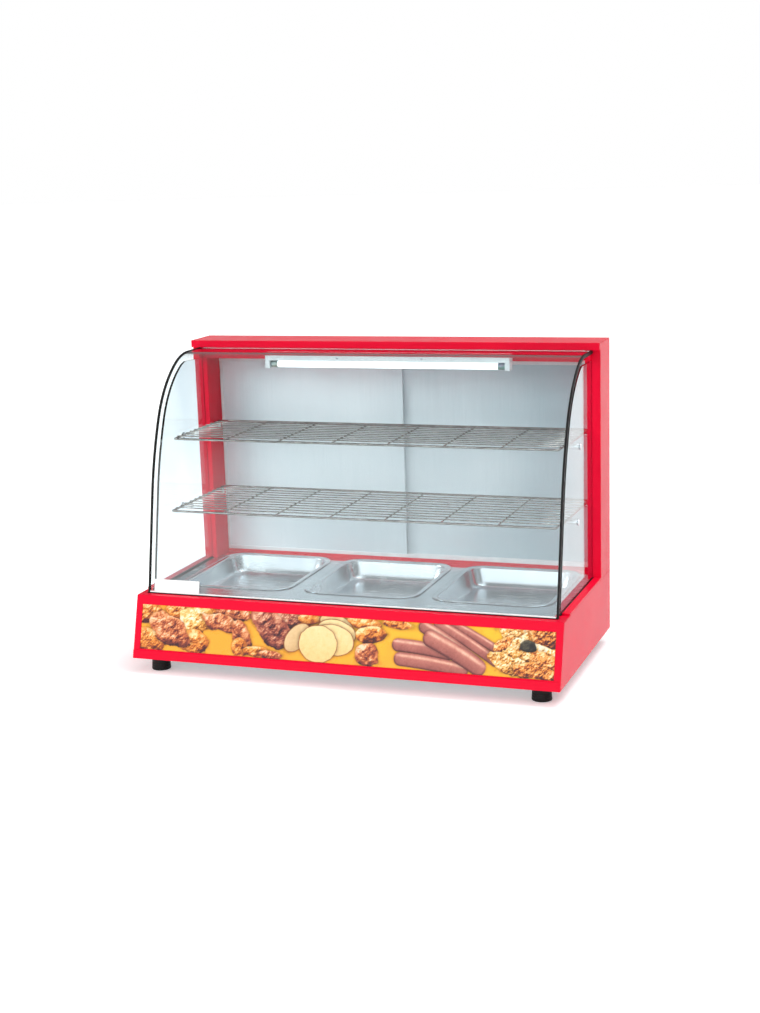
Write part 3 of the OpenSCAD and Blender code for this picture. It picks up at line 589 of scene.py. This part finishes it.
def make_pan(index, node, material):
    """A pressed pan: curled edge, level rim, rounded shoulder, sloping walls and a dished floor."""
    lo, hi = box_mm(node)
    cx, cy = (lo[0] + hi[0]) / 2, (lo[1] + hi[1]) / 2
    half_x, half_y = (hi[0] - lo[0]) / 2, (hi[1] - lo[1]) / 2
    rim, floor = hi[2] - 2.5, lo[2] + 0.9
    # inset from the outline, height above the level rim, corner radius
    curl = [(0.5, 0.3, 44.6), (0.15, 1.0, 44.9), (0.35, 1.8, 44.7), (1.1, 2.3, 44.0), (2.1, 2.25, 43.2)]
    level = [(3.0, 1.6, 42.4), (4.0, 1.15, 41.6), (6.5, 1.0, 39.6), (9.6, 0.95, 37.2), (10.9, 0.5, 36.0)]
    wall = [(11.6, -0.6, 35.4), (12.0, -2.4, 35.0), (13.0, -8.0, 34.4), (15.6, -18.0, 33.4),
            (18.3, -27.0, 32.4), (20.2, -31.5, 31.4), (22.8, -35.2, 30.0), (26.2, -37.8, 28.0)]
    dish = [(30.5, -38.9, 26.0), (38.0, -39.1, 23.0), (60.0, -39.0, 18.0), (84.0, -38.8, 14.0),
            (106.0, -38.7, 10.0)]
    rings = [rounded_ring(half_x - inset, half_y - inset, radius, (cx, cy), max(rim + up, floor))
             for inset, up, radius in curl + level + wall + dish]
    shape = Shape().loft(rings, caps=(False, True))
    shape.build(f"pan_pressed_{index}", material, node, "stainless_steel", [node], sharp=70,
                modifiers=[("SOLIDIFY", {"thickness": 0.0008, "offset": -1.0}),
                           ("SUBSURF", {"levels": 1, "render_levels": 1})])


# ---------------------------------------------------------------- wire shelves


def make_shelf(node, material, seed):
    """A welded wire shelf: a closed frame of thick rod, cross wires, and long wires laid over them."""
    rng = np.random.RandomState(seed)
    lo, hi = box_mm(node)
    rod, wire, bays, lines = 2.4, 1.4, 7, 11
    gap, weld, corner = 0.15, 0.3, 5.0
    half = hi[0] - gap
    end = half - rod
    d0, d1 = lo[1] + gap + rod, hi[1] - gap - rod
    z = lo[2] + rod + gap
    loop = []
    for sx, sy, start in ((1, 1, 0), (-1, 1, 90), (-1, -1, 180), (1, -1, 270)):
        cx, cy = sx * (end - corner), (d1 - corner if sy > 0 else d0 + corner)
        for k in range(9):
            a = math.radians(start + 90 * k / 8)
            loop.append((cx + corner * math.cos(a), cy + corner * math.sin(a), z))
    shape = Shape().tube(loop, rod, 16, loop=True)
    cross_z, line_z = z + rod - wire - weld, z + rod + wire - 2 * weld
    for i in range(1, bays):
        x = -half + i * 2 * half / bays + rng.uniform(-0.5, 0.5)
        shape.tube([(x, d0 + t * (d1 - d0), cross_z) for t in (0.0, 0.5, 1.0)], wire, 12)
    # the long wires sag and bend sideways by less than a weld's width
    pitch = (hi[1] - lo[1] - 2 * gap) / (lines + 1)
    for i in range(1, lines + 1):
        y = lo[1] + gap + i * pitch
        points = []
        for k in range(2 * bays + 1):
            t = k / (2 * bays)
            drift = rng.uniform(-0.35, 0.35) if 0 < k < 2 * bays else 0.0
            sag = -0.15 if k % 2 else 0.0
            points.append((-end - 1 + t * 2 * (end + 1), y + drift, line_z + sag))
        shape.tube(points, wire, 12)
    shape.build(f"wire_rack_{node[6:]}", material, node, "chrome_wire", [node], sharp=60)


# ---------------------------------------------------------------- printed picture panel


def value_noise(rng, u, v, scale):
    """Smooth random numbers from 0 to 1 over the panel, that change over about scale mm."""
    cols, rows = int(u.max() / scale) + 3, int(v.max() / scale) + 3
    grid = rng.rand(rows + 1, cols + 1)
    x, y = u / scale, v / scale
    ix, iy = np.floor(x).astype(int), np.floor(y).astype(int)
    fx, fy = x - ix, y - iy
    fx, fy = fx * fx * (3 - 2 * fx), fy * fy * (3 - 2 * fy)
    low = grid[iy, ix] * (1 - fx) + grid[iy, ix + 1] * fx
    high = grid[iy + 1, ix] * (1 - fx) + grid[iy + 1, ix + 1] * fx
    return low * (1 - fy) + high * fy


class Print:
    """A made-up picture of snacks, painted with formulas on a grid of points."""

    def __init__(self, u, v, step):
        self.u, self.v, self.step = u, v, step
        rng = np.random.RandomState(7)
        self.broad = value_noise(rng, u, v, 21.0)
        self.middle = 0.6 * value_noise(rng, u, v, 9.0) + 0.4 * value_noise(rng, u, v, 5.0)
        self.fine = 0.6 * value_noise(rng, u, v, 3.0) + 0.4 * value_noise(rng, u, v, 1.8)
        self.spots = value_noise(rng, u, v, 7.0)
        share = np.clip(u / u.max() * 1.2 - 0.25, 0, 1) * (0.35 + 0.65 * v / v.max())
        share = np.clip(share + 0.2 * (self.broad - 0.5), 0, 1)[..., None]
        self.ink = np.array(linear("f4a52e")[:3]) * (1 - share) + np.array(linear("fbc125")[:3]) * share

    def cover(self, colour, share):
        """Lays a colour over the picture where share is above 0."""
        self.ink = self.ink * (1 - share[..., None]) + colour * share[..., None]

    def tones(self, level, codes):
        """Colours from a dark to light scale, for levels from 0 to 1."""
        stops = np.linspace(0, 1, len(codes))
        table = np.array([linear(c)[:3] for c in codes])
        return np.stack([np.interp(level, stops, table[:, i]) for i in range(3)], -1)

    def shadow(self, distance, reach):
        """Darkens the picture round a piece, out to reach mm."""
        dark = np.clip(1 - distance / reach, 0, 1) ** 2 * 0.42
        self.ink = self.ink * (1 - dark[..., None])

    def local(self, cu, cv, turn):
        """Coordinates about a centre, turned by degrees."""
        a = math.radians(turn)
        x, y = self.u - cu, self.v - cv
        return x * math.cos(a) + y * math.sin(a), -x * math.sin(a) + y * math.cos(a)

    def lit(self, height):
        """How much light from the upper left a relief in mm catches, and how much it glints."""
        up, along = np.gradient(height, self.step)
        size = np.sqrt(1 + up * up + along * along)
        light = (0.42 * along - 0.72 * up + 0.55) / size
        glint = np.clip((0.3 * along - 0.5 * up + 0.81) / size, 0, 1) ** 26
        return np.clip(light, -0.3, 1), glint

    def lump(self, cu, cv, rx, ry, turn, codes, crust=0.5, wobble=0.35, shift=0):
        """A rounded piece with a rough crust, lit from above."""
        x, y = self.local(cu, cv, turn)
        middle = np.roll(self.middle, shift * 41, axis=1)
        broad = np.roll(self.broad, shift * 29, axis=1)
        fine = np.roll(self.fine, shift * 17, axis=1)
        size = min(rx, ry)
        r = np.sqrt((x / rx) ** 2 + (y / ry) ** 2) + wobble * (0.5 * (middle - 0.5) + (broad - 0.5))
        r = r + 0.05 * (fine - 0.5)
        self.shadow(np.clip(r - 1, 0, None) * size, 6.0)
        dome = np.sqrt(np.clip(1.02 - r * r, 0.02, 1)) * size * 0.62
        light, glint = self.lit(dome + crust * (9.0 * (middle - 0.5) + 3.4 * (fine - 0.5)))
        level = 0.23 + 0.62 * light + 0.55 * (self.spots - 0.5) + 0.3 * (broad - 0.5)
        level = level + 0.3 * crust * (fine - 0.5) + 0.2 * glint - 0.18 * np.clip(-y / ry - 0.2, 0, 1)
        self.cover(self.tones(np.clip(level, 0, 1), codes), np.clip((1 - r) * size / 0.9, 0, 1))

    def slice(self, cu, cv, rx, ry, turn, tint=("e0b06c", "f0cc8a", "f9dda6")):
        """A pale slice with a thin browned rim."""
        x, y = self.local(cu, cv, turn)
        r = np.sqrt((x / rx) ** 2 + (y / ry) ** 2) + 0.06 * (self.middle - 0.5)
        size = min(rx, ry)
        self.shadow(np.clip(r - 1, 0, None) * size, 7.0)
        level = np.clip(0.6 + 0.3 * (self.middle - 0.5) + 0.2 * (self.fine - 0.5) + 0.25 * y / ry, 0, 1)
        face = self.tones(level, tint)
        rim = self.tones(self.fine, ["6a2f14", "8d4418", "b5682a"])
        band = np.clip((r - (1 - 2.2 / size)) * size / 1.0, 0, 1)[..., None]
        self.cover(face * (1 - band) + rim * band, np.clip((1 - r) * size / 0.8, 0, 1))

    def sausage(self, start, end, radius):
        """A slightly bent rod with round ends, a soft gleam and a dark outline."""
        (u0, v0), (u1, v1) = start, end
        length = math.hypot(u1 - u0, v1 - v0)
        du, dv = (u1 - u0) / length, (v1 - v0) / length
        along = (self.u - u0) * du + (self.v - v0) * dv
        across = -(self.u - u0) * dv + (self.v - v0) * du
        beyond = along - np.clip(along, 0, length)
        bend = across - 1.8 * np.sin(np.clip(along / length, 0, 1) * math.pi)
        r = np.sqrt(bend ** 2 + beyond ** 2) / radius + 0.03 * (self.middle - 0.5)
        self.shadow(np.clip(r - 1, 0, None) * radius, 6.0)
        side = bend / radius
        gleam = np.exp(-((side - 0.5) / 0.2) ** 2)
        level = 0.42 + 0.2 * side + 0.34 * gleam * (0.6 + 0.8 * self.middle)
        level = level - 0.34 * np.clip((r - 0.66) / 0.34, 0, 1)
        level = level + 0.12 * (self.fine - 0.5) + 0.14 * (self.broad - 0.5)
        self.cover(self.tones(np.clip(level, 0, 1), ["5c2c2e", "96524c", "bd7366", "d99a86", "f6c6ac"]),
                   np.clip((1 - r) * radius / 0.8, 0, 1))


GOLDEN = ["45181a", "93401c", "d87c2c", "f2a650", "ffdda2"]
PALE = ["5a2e16", "b86c22", "e8a54a", "f9cf86", "fff3d2"]
ROAST = ["3a181c", "84382a", "c4663a", "e79e68", "fcd6b2"]
DARK = ["34151c", "70302e", "aa5842", "d48e6c", "f3c4a4"]
SPRIG = ["120f0d", "2a2723", "5b5440"]


def paint_print(u, v, step):
    """The whole picture, back to front: each piece is its centre and radii in mm, its turn and its scale."""
    p = Print(u, v, step)

    def lumps(pieces, crust, wobble, turns):
        for piece in pieces:
            p.lump(*piece, crust=crust, wobble=wobble, shift=piece[0] % turns)

    lumps(((12, 76, 30, 24, 0, GOLDEN), (92, 86, 34, 20, 0, GOLDEN), (196, 84, 54, 16, -4, ROAST),
           (144, 84, 22, 22, 0, GOLDEN), (122, 62, 40, 30, 20, PALE), (20, 18, 34, 26, -8, GOLDEN),
           (122, 20, 34, 26, 14, GOLDEN), (64, 42, 52, 27, -26, ROAST)), 0.85, 0.5, 11)
    lumps(((180, 64, 46, 17, -10, ROAST), (226, 40, 19, 38, 14, ROAST), (224, 14, 16, 22, 4, GOLDEN),
           (262, 11, 30, 11, -6, GOLDEN), (292, 7, 26, 9, -6, ROAST)), 0.7, 0.42, 7)
    p.lump(330, 80, 46, 20, 0, DARK, crust=0.75, wobble=0.4, shift=5)
    p.lump(290, 62, 62, 28, -38, DARK, crust=0.8, wobble=0.34, shift=3)
    p.lump(372, 84, 26, 12, 0, GOLDEN, crust=0.5, wobble=0.3, shift=2)
    p.slice(347, 46, 36, 22, 48, ("b58a5c", "d4ae7c", "e6c896"))
    for piece in ((428, 78, 38, 19, -14), (430, 62, 44, 25, -12), (424, 46, 46, 31, -10),
                  (392, 36, 42, 38, -6)):
        p.slice(*piece)
    lumps(((486, 84, 34, 17, -6, GOLDEN), (556, 86, 34, 10, -6, GOLDEN), (500, 62, 34, 17, 8, GOLDEN),
           (498, 20, 28, 23, -28, ROAST)), 0.7, 0.4, 9)
    for start, end, radius in (((560, 46), (660, 36), 13.5), ((566, 19), (690, 6), 14.0),
                               ((672, 92), (776, 40), 9.0), ((640, 92), (756, 28), 10.5),
                               ((612, 84), (716, 24), 13.0), ((626, 62), (722, 14), 17.0)):
        p.sausage(start, end, radius)
    lumps(((792, 82, 46, 20, -4, PALE), (846, 82, 40, 20, 0, GOLDEN), (772, 62, 26, 16, 20, GOLDEN),
           (828, 50, 58, 28, -10, PALE), (862, 26, 34, 26, 0, GOLDEN), (786, 22, 44, 17, -14, PALE),
           (836, 12, 42, 15, -8, GOLDEN)), 1.5, 0.9, 13)
    p.lump(816, 60, 20, 12, 0, SPRIG, crust=0.5, wobble=0.8, shift=1)
    return np.clip(p.ink, 0, 1)


def make_picture(material):
    """The film panel: a sheet with softened edges whose face is a fine grid that carries the picture."""
    lo, hi = box_mm("picture_panel")
    thick, edge = 1.3, 0.4
    width, high = hi[0] - lo[0], hi[2] - lo[2]
    deep = hi[1] - lo[1] - thick
    slant = math.hypot(deep, high)
    step = 0.8
    cols, rows = int(width / step) + 1, int(slant / step) + 1
    u = np.linspace(0, width, cols)
    v = np.linspace(0, slant, rows)
    uu, vv = np.meshgrid(u, v)
    t = vv / slant
    x = lo[0] + uu
    y = lo[1] + t * deep
    z = lo[2] + t * high
    # the outermost lines of the grid drop back, as a cut edge does
    rim = np.minimum(np.minimum(uu, width - uu), np.minimum(vv, slant - vv))
    y = y + np.clip(edge - rim, 0, edge)
    front = np.stack([x, y, z], -1).reshape(-1, 3)
    shape = Shape()
    shape.points = [tuple(p) for p in front]
    index = np.arange(rows * cols).reshape(rows, cols)
    quads = np.stack([index[:-1, :-1], index[:-1, 1:], index[1:, 1:], index[1:, :-1]], -1).reshape(-1, 4)
    shape.faces = [tuple(int(i) for i in q) for q in quads]
    border = list(index[0, :]) + list(index[1:, -1]) + list(index[-1, -2::-1]) + list(index[-2:0:-1, 0])
    base = len(shape.points)
    for i in border:
        px, _, pz = shape.points[i]
        share = (pz - lo[2]) / high
        shape.points.append((px, lo[1] + share * deep + thick, pz))
    n = len(border)
    for k in range(n):
        m = (k + 1) % n
        shape.faces.append((int(border[m]), int(border[k]), base + k, base + m))
    shape.faces.append(tuple(base + k for k in range(n)))
    piece = shape.build("picture_film", material, "cabinet", "printed_panel", ["picture_panel"])
    colours = np.ones((len(shape.points), 4), np.float32)
    colours[:, :3] = linear("e9e4da")[:3]
    ink = paint_print(uu, vv, step).reshape(-1, 3)
    colours[:rows * cols, :3] = ink
    layer = piece.data.color_attributes.new(name="ink", type="FLOAT_COLOR", domain="POINT")
    layer.data.foreach_set("color", colours.ravel())


# ---------------------------------------------------------------- small parts

FOOT_R = 20


def make_feet(material):
    """Turned rubber feet with three grooves, hollow below for the screw's head."""
    lo, hi = box_mm("feet")
    shape = Shape()
    hollow = [(3.1, 8.0), (7.0, 8.0), (7.0, 0.9), (7.7, 0.0)]
    side = [(18.6, 0.0), (19.6, 0.5), (19.9, 1.6), (19.7, 5.4), (19.2, 5.9), (19.2, 6.7), (19.55, 7.2),
            (19.3, 10.4), (18.85, 10.9), (18.85, 11.7), (19.2, 12.2), (18.9, 15.4), (18.5, 15.9),
            (18.5, 16.7), (18.8, 17.2), (18.25, 27.8), (17.8, 29.2), (16.8, 29.95), (3.1, 29.95)]
    for sx in (-1, 1):
        for y in (lo[1] + FOOT_R, hi[1] - FOOT_R):
            shape.lathe(hollow + side, (sx * (hi[0] - FOOT_R), y, 0), sides=48, loop=True)
    shape.build("rubber_feet", material, "cabinet", "black_rubber", ["feet"])


def hexagon(angle, _ring=0):
    """How much further than its flats a hexagon reaches at an angle."""
    return 1 / math.cos((angle % (math.pi / 3)) - math.pi / 6)


def button_screw(shape, origin, axis, radius, height, sides=48):
    """A button-head screw with a hexagon socket."""
    turn = Vector((0, 0, 1)).rotation_difference(Vector(axis)).to_matrix()
    outer = [(radius * 0.96, 0.0), (radius, height * 0.18), (radius * 0.97, height * 0.45),
             (radius * 0.86, height * 0.74), (radius * 0.7, height * 0.92), (radius * 0.56, height)]
    inner = [(radius * 0.42, height), (radius * 0.4, height * 0.92), (radius * 0.4, height * 0.35)]
    rings = []
    for points, six in ((outer, False), (inner, True)):
        for r, h in points:
            ring = []
            for k in range(sides):
                a = 2 * math.pi * k / sides
                q = r * (hexagon(a) if six else 1.0)
                ring.append(turn @ Vector((q * math.cos(a), q * math.sin(a), h)) + Vector(origin))
            rings.append(ring)
    shape.loft(rings)


def make_fasteners(material):
    """Screws up the rear edges, and a screw and a nut through each foot."""
    shape = Shape()
    hi = box_mm("fasteners")[1]
    feet_lo, feet_hi = box_mm("feet")
    back, column_x = hi[1] - 2, 442
    base_z, base_top, top_z = 30.0, 156.0, 645.0
    floor_z = base_z + 3.1
    for sx in (-1, 1):
        for z in (base_z + 12, base_top - 12, base_top + 40, base_top + 240, top_z - 40):
            button_screw(shape, (sx * column_x, back, z), (0, 1, 0), 3.5, 1.95)
        for y in (feet_lo[1] + FOOT_R, feet_hi[1] - FOOT_R):
            x = sx * (feet_hi[0] - FOOT_R)
            shank = [(2.6, 6.5), (3.0, 7.0), (3.0, floor_z + 7.5), (2.5, floor_z + 8)]
            shape.lathe(shank, (x, y, 0), sides=32)
            button_screw(shape, (x, y, 8.0), (0, 0, -1), 5.5, 3.45)
            nut = [(4.4, floor_z), (4.75, floor_z + 0.4), (4.75, floor_z + 4.6), (4.4, floor_z + 5)]
            shape.lathe(nut, (x, y, 0), sides=48, shape=hexagon)
    shape.build("screws", material, "cabinet", "stainless_steel", ["fasteners"])


def make_lamp(materials):
    """The tube's glass, its end caps with crimped edges, and its pins."""
    lo, hi = box_mm("lamp_tube")
    y, z = (lo[1] + hi[1]) / 2, (lo[2] + hi[2]) / 2
    pin, cap, pin_offset = 6.8, 15.5, 2.375
    end = hi[0] - pin
    glass = Shape()
    glass.lathe([(5.0, -end + cap - 6), (7.3, -end + cap - 4), (7.75, -end + cap - 1), (7.85, -end + cap + 2),
                 (7.85, 0), (7.85, end - cap - 2), (7.75, end - cap + 1), (7.3, end - cap + 4),
                 (5.0, end - cap + 6)], (0, y, z), (1, 0, 0), 40)
    glass.build("tube_glass_sleeve", materials["tube_glass"], "lamp_tube", "tube_glass", ["lamp_tube"])
    ends = Shape()
    for s in (-1, 1):
        profile = [(6.9, s * (end - cap) + s * 0.1), (7.8, s * (end - cap)), (8.0, s * (end - cap + 0.5)),
                   (8.0, s * (end - 4.2)), (7.7, s * (end - 3.7)), (7.7, s * (end - 3.1)),
                   (8.0, s * (end - 2.6)), (8.0, s * (end - 0.6)), (7.5, s * end), (5.2, s * end),
                   (5.0, s * (end - 0.3))]
        if s < 0:
            profile = profile[::-1]
        ends.lathe(profile, (0, y, z), (1, 0, 0), 40)
        for side in (-1, 1):
            pins = [(1.1, s * (end - 0.6)), (1.18, s * end), (1.18, s * (end + pin - 0.5)),
                    (0.8, s * (end + pin))]
            if s < 0:
                pins = pins[::-1]
            ends.lathe(pins, (0, y, z + side * pin_offset), (1, 0, 0), 20)
    ends.build("tube_end_caps", materials["galvanised_steel"], "lamp_tube", "galvanised_steel")


def make_batten_screws(material):
    lo, hi = box_mm("lamp_batten")
    shape = Shape()
    sunk, above = 0.15, 1.5
    for x in (-104.0, 82.0):
        button_screw(shape, (x, lo[1] + sunk, (lo[2] + hi[2]) / 2 + above), (0, -1, 0), 2.6, 1.4, 32)
    shape.build("batten_screws", material, "cabinet", "stainless_steel")


def fluted(angle, i):
    """Twenty shallow flutes round the middle rings of the knob's skirt."""
    return 1.0 - 0.035 * (0.5 - 0.5 * math.cos(20 * angle)) * (1.0 if 0 < i < 5 else 0.0)


def make_knob(materials):
    """A turned flange, a fluted skirt and a finger bar with a white pointer line."""
    lo, hi = box_mm("thermostat_knob")
    x, z = (lo[0] + hi[0]) / 2, (lo[2] + hi[2]) / 2
    origin, axis = (x, 0, z), (0, 1, 0)
    back = hi[1]
    flange = back - 16
    shape = Shape()
    shape.lathe([(2.6, lo[1]), (3.0, lo[1] + 0.4), (3.0, flange + 1), (3.0, flange + 2)], origin, axis, 24)
    shape.lathe([(19.6, flange), (20.8, flange + 0.5), (21.0, flange + 1.4), (20.4, flange + 2.5),
                 (18.6, flange + 3), (16.0, flange + 3.1)], origin, axis, 72)
    skirt = [(15.6, flange + 2.6), (15.4, flange + 3.2), (15.1, flange + 6), (14.8, flange + 9.5),
             (14.5, flange + 12.2), (13.8, flange + 13.3), (12.6, flange + 13.9)]
    shape.lathe(skirt, origin, axis, 160, fluted)
    reach = 16.6
    rings = []
    for y, hx, hz in ((flange + 12.6, 3.5, reach), (flange + 14.6, 3.4, reach),
                      (flange + 15.6, 2.9, reach - 0.6), (flange + 16, 2.1, reach - 1.6)):
        ring = rounded_ring(hx, hz, min(hx, 2.0) * 0.95, (0, 0), 0.0, 5, 4)
        rings.append([(x + a, y, z - b) for a, b, _ in ring])
    shape.loft(rings)
    shape.build("thermostat_dial_knob", materials["black_plastic"], "thermostat_knob", "black_plastic",
                ["thermostat_knob"])
    line = Shape()
    line.box((x - 0.6, back - 0.18, z + 3), (x + 0.6, back - 0.03, z + reach - 2.6), 0.05)
    line.build("knob_pointer", materials["white_paint"], "thermostat_knob", "white_paint")


def make_dial(material):
    """Printed ticks round the knob on the rear panel, each fourth one longer."""
    lo, hi = box_mm("thermostat_knob")
    x, z = (lo[0] + hi[0]) / 2, (lo[2] + hi[2]) / 2
    panel = box_mm("rear_panel")[1][1]
    ticks = Shape()
    steps, sweep = 16, 270
    near, w = 25.0, 0.45
    for i in range(steps + 1):
        a = math.radians(-135 + sweep * i / steps)
        far = near + (5.0 if i % 4 == 0 else 3.0)
        c, s = math.cos(a), math.sin(a)
        rings = []
        for y, trim in ((panel - 0.02, 0.0), (panel + 0.1, 0.0), (panel + 0.14, 0.06)):
            corners = [(near + trim, -w + trim), (far - trim, -w + trim), (far - trim, w - trim),
                       (near + trim, w - trim)]
            rings.append([(x + r * s + q * c, y, z + r * c - q * s) for r, q in corners])
        ticks.loft(rings)
    ticks.build("dial_marks", material, "cabinet", "white_paint")


# ---------------------------------------------------------------- CAD nodes that stay

# the width of each slot's rounded edges
EDGE_MM = {
    "red_paint": 0.7, "galvanised_steel": 0.3, "stainless_steel": 0.35, "black_plastic": 0.5,
    "ceramic_white": 0.5, "white_plastic": 0.8, "white_paint": 0.6, "clear_glass": 0.6, "black_rubber": 0.5,
    "door_steel": 0.5, "rocker_red": 0.8, "rocker_green": 0.8, "copper": 0.2, "heater_sheath": 0.2,
    "lens_amber": 0.5, "cable_grey": 0.2, "chrome_wire": 0.3, "tube_glass": 0.3, "printed_panel": 0.3,
}


def dress_nodes(materials):
    """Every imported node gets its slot's material and softly rounded edges."""
    for name, node in NODES.items():
        slot = SLOT_OF[name]
        node.data.materials.clear()
        node.data.materials.append(materials[slot])
        merge = node.modifiers.new("merge", "WELD")
        merge.merge_threshold = 0.000002
        round_off = node.modifiers.new("round", "BEVEL")
        round_off.width = EDGE_MM[slot] * MM
        round_off.segments = 2
        round_off.limit_method = "ANGLE"
        round_off.angle_limit = math.radians(40)
        round_off.harden_normals = True


def make_floor():
    """Pale studio paper, a little below the feet, that glows more far behind the object."""
    g = Graph("studio_floor", Roughness=0.9, Specular_IOR_Level=0.05)
    g.set("Base Color", g.ramp(g.noise(1.2, 2), (0.84, 0.85, 0.86, 1), (0.86, 0.87, 0.88, 1)))
    g.bsdf.inputs["Emission Color"].default_value = (1, 1, 1, 1)
    behind = g.calc(g.times(g.axis(g.place, "Y"), 0.25), g.times(g.axis(g.place, "X"), 0.3), "SUBTRACT")
    g.set("Emission Strength", g.ramp(behind, 0.3, 0.62, 0.12, 0.5))
    mesh = bpy.data.meshes.new("floor")
    size, low = 30.0, -0.0005
    corners = [(-size, -size, low), (size, -size, low), (size, size, low), (-size, size, low)]
    mesh.from_pydata(corners, [], [(0, 1, 2, 3)])
    floor = bpy.data.objects.new("floor", mesh)
    bpy.context.scene.collection.objects.link(floor)
    mesh.materials.append(g.material)


make_camera()
make_light()
bpy.context.scene.view_settings.view_transform = "Standard"
MATERIALS = make_materials()
dress_nodes(MATERIALS)
make_front_glass(pane_glass("glass_front", "X", "f0f8fa", "9fd6c6"))
make_foot_bead(MATERIALS["white_plastic"])
make_glass_trims(MATERIALS["black_rubber"])
for number, pan in enumerate(("pan_left", "pan_middle", "pan_right"), 1):
    make_pan(number, pan, MATERIALS["stainless_steel"])
make_shelf("shelf_upper", MATERIALS["chrome_wire"], 3)
make_shelf("shelf_lower", MATERIALS["chrome_wire"], 4)
make_picture(MATERIALS["printed_panel"])
make_feet(MATERIALS["black_rubber"])
make_fasteners(MATERIALS["stainless_steel"])
make_lamp(MATERIALS)
make_batten_screws(MATERIALS["stainless_steel"])
make_knob(MATERIALS)
make_dial(MATERIALS["white_paint"])
make_floor()
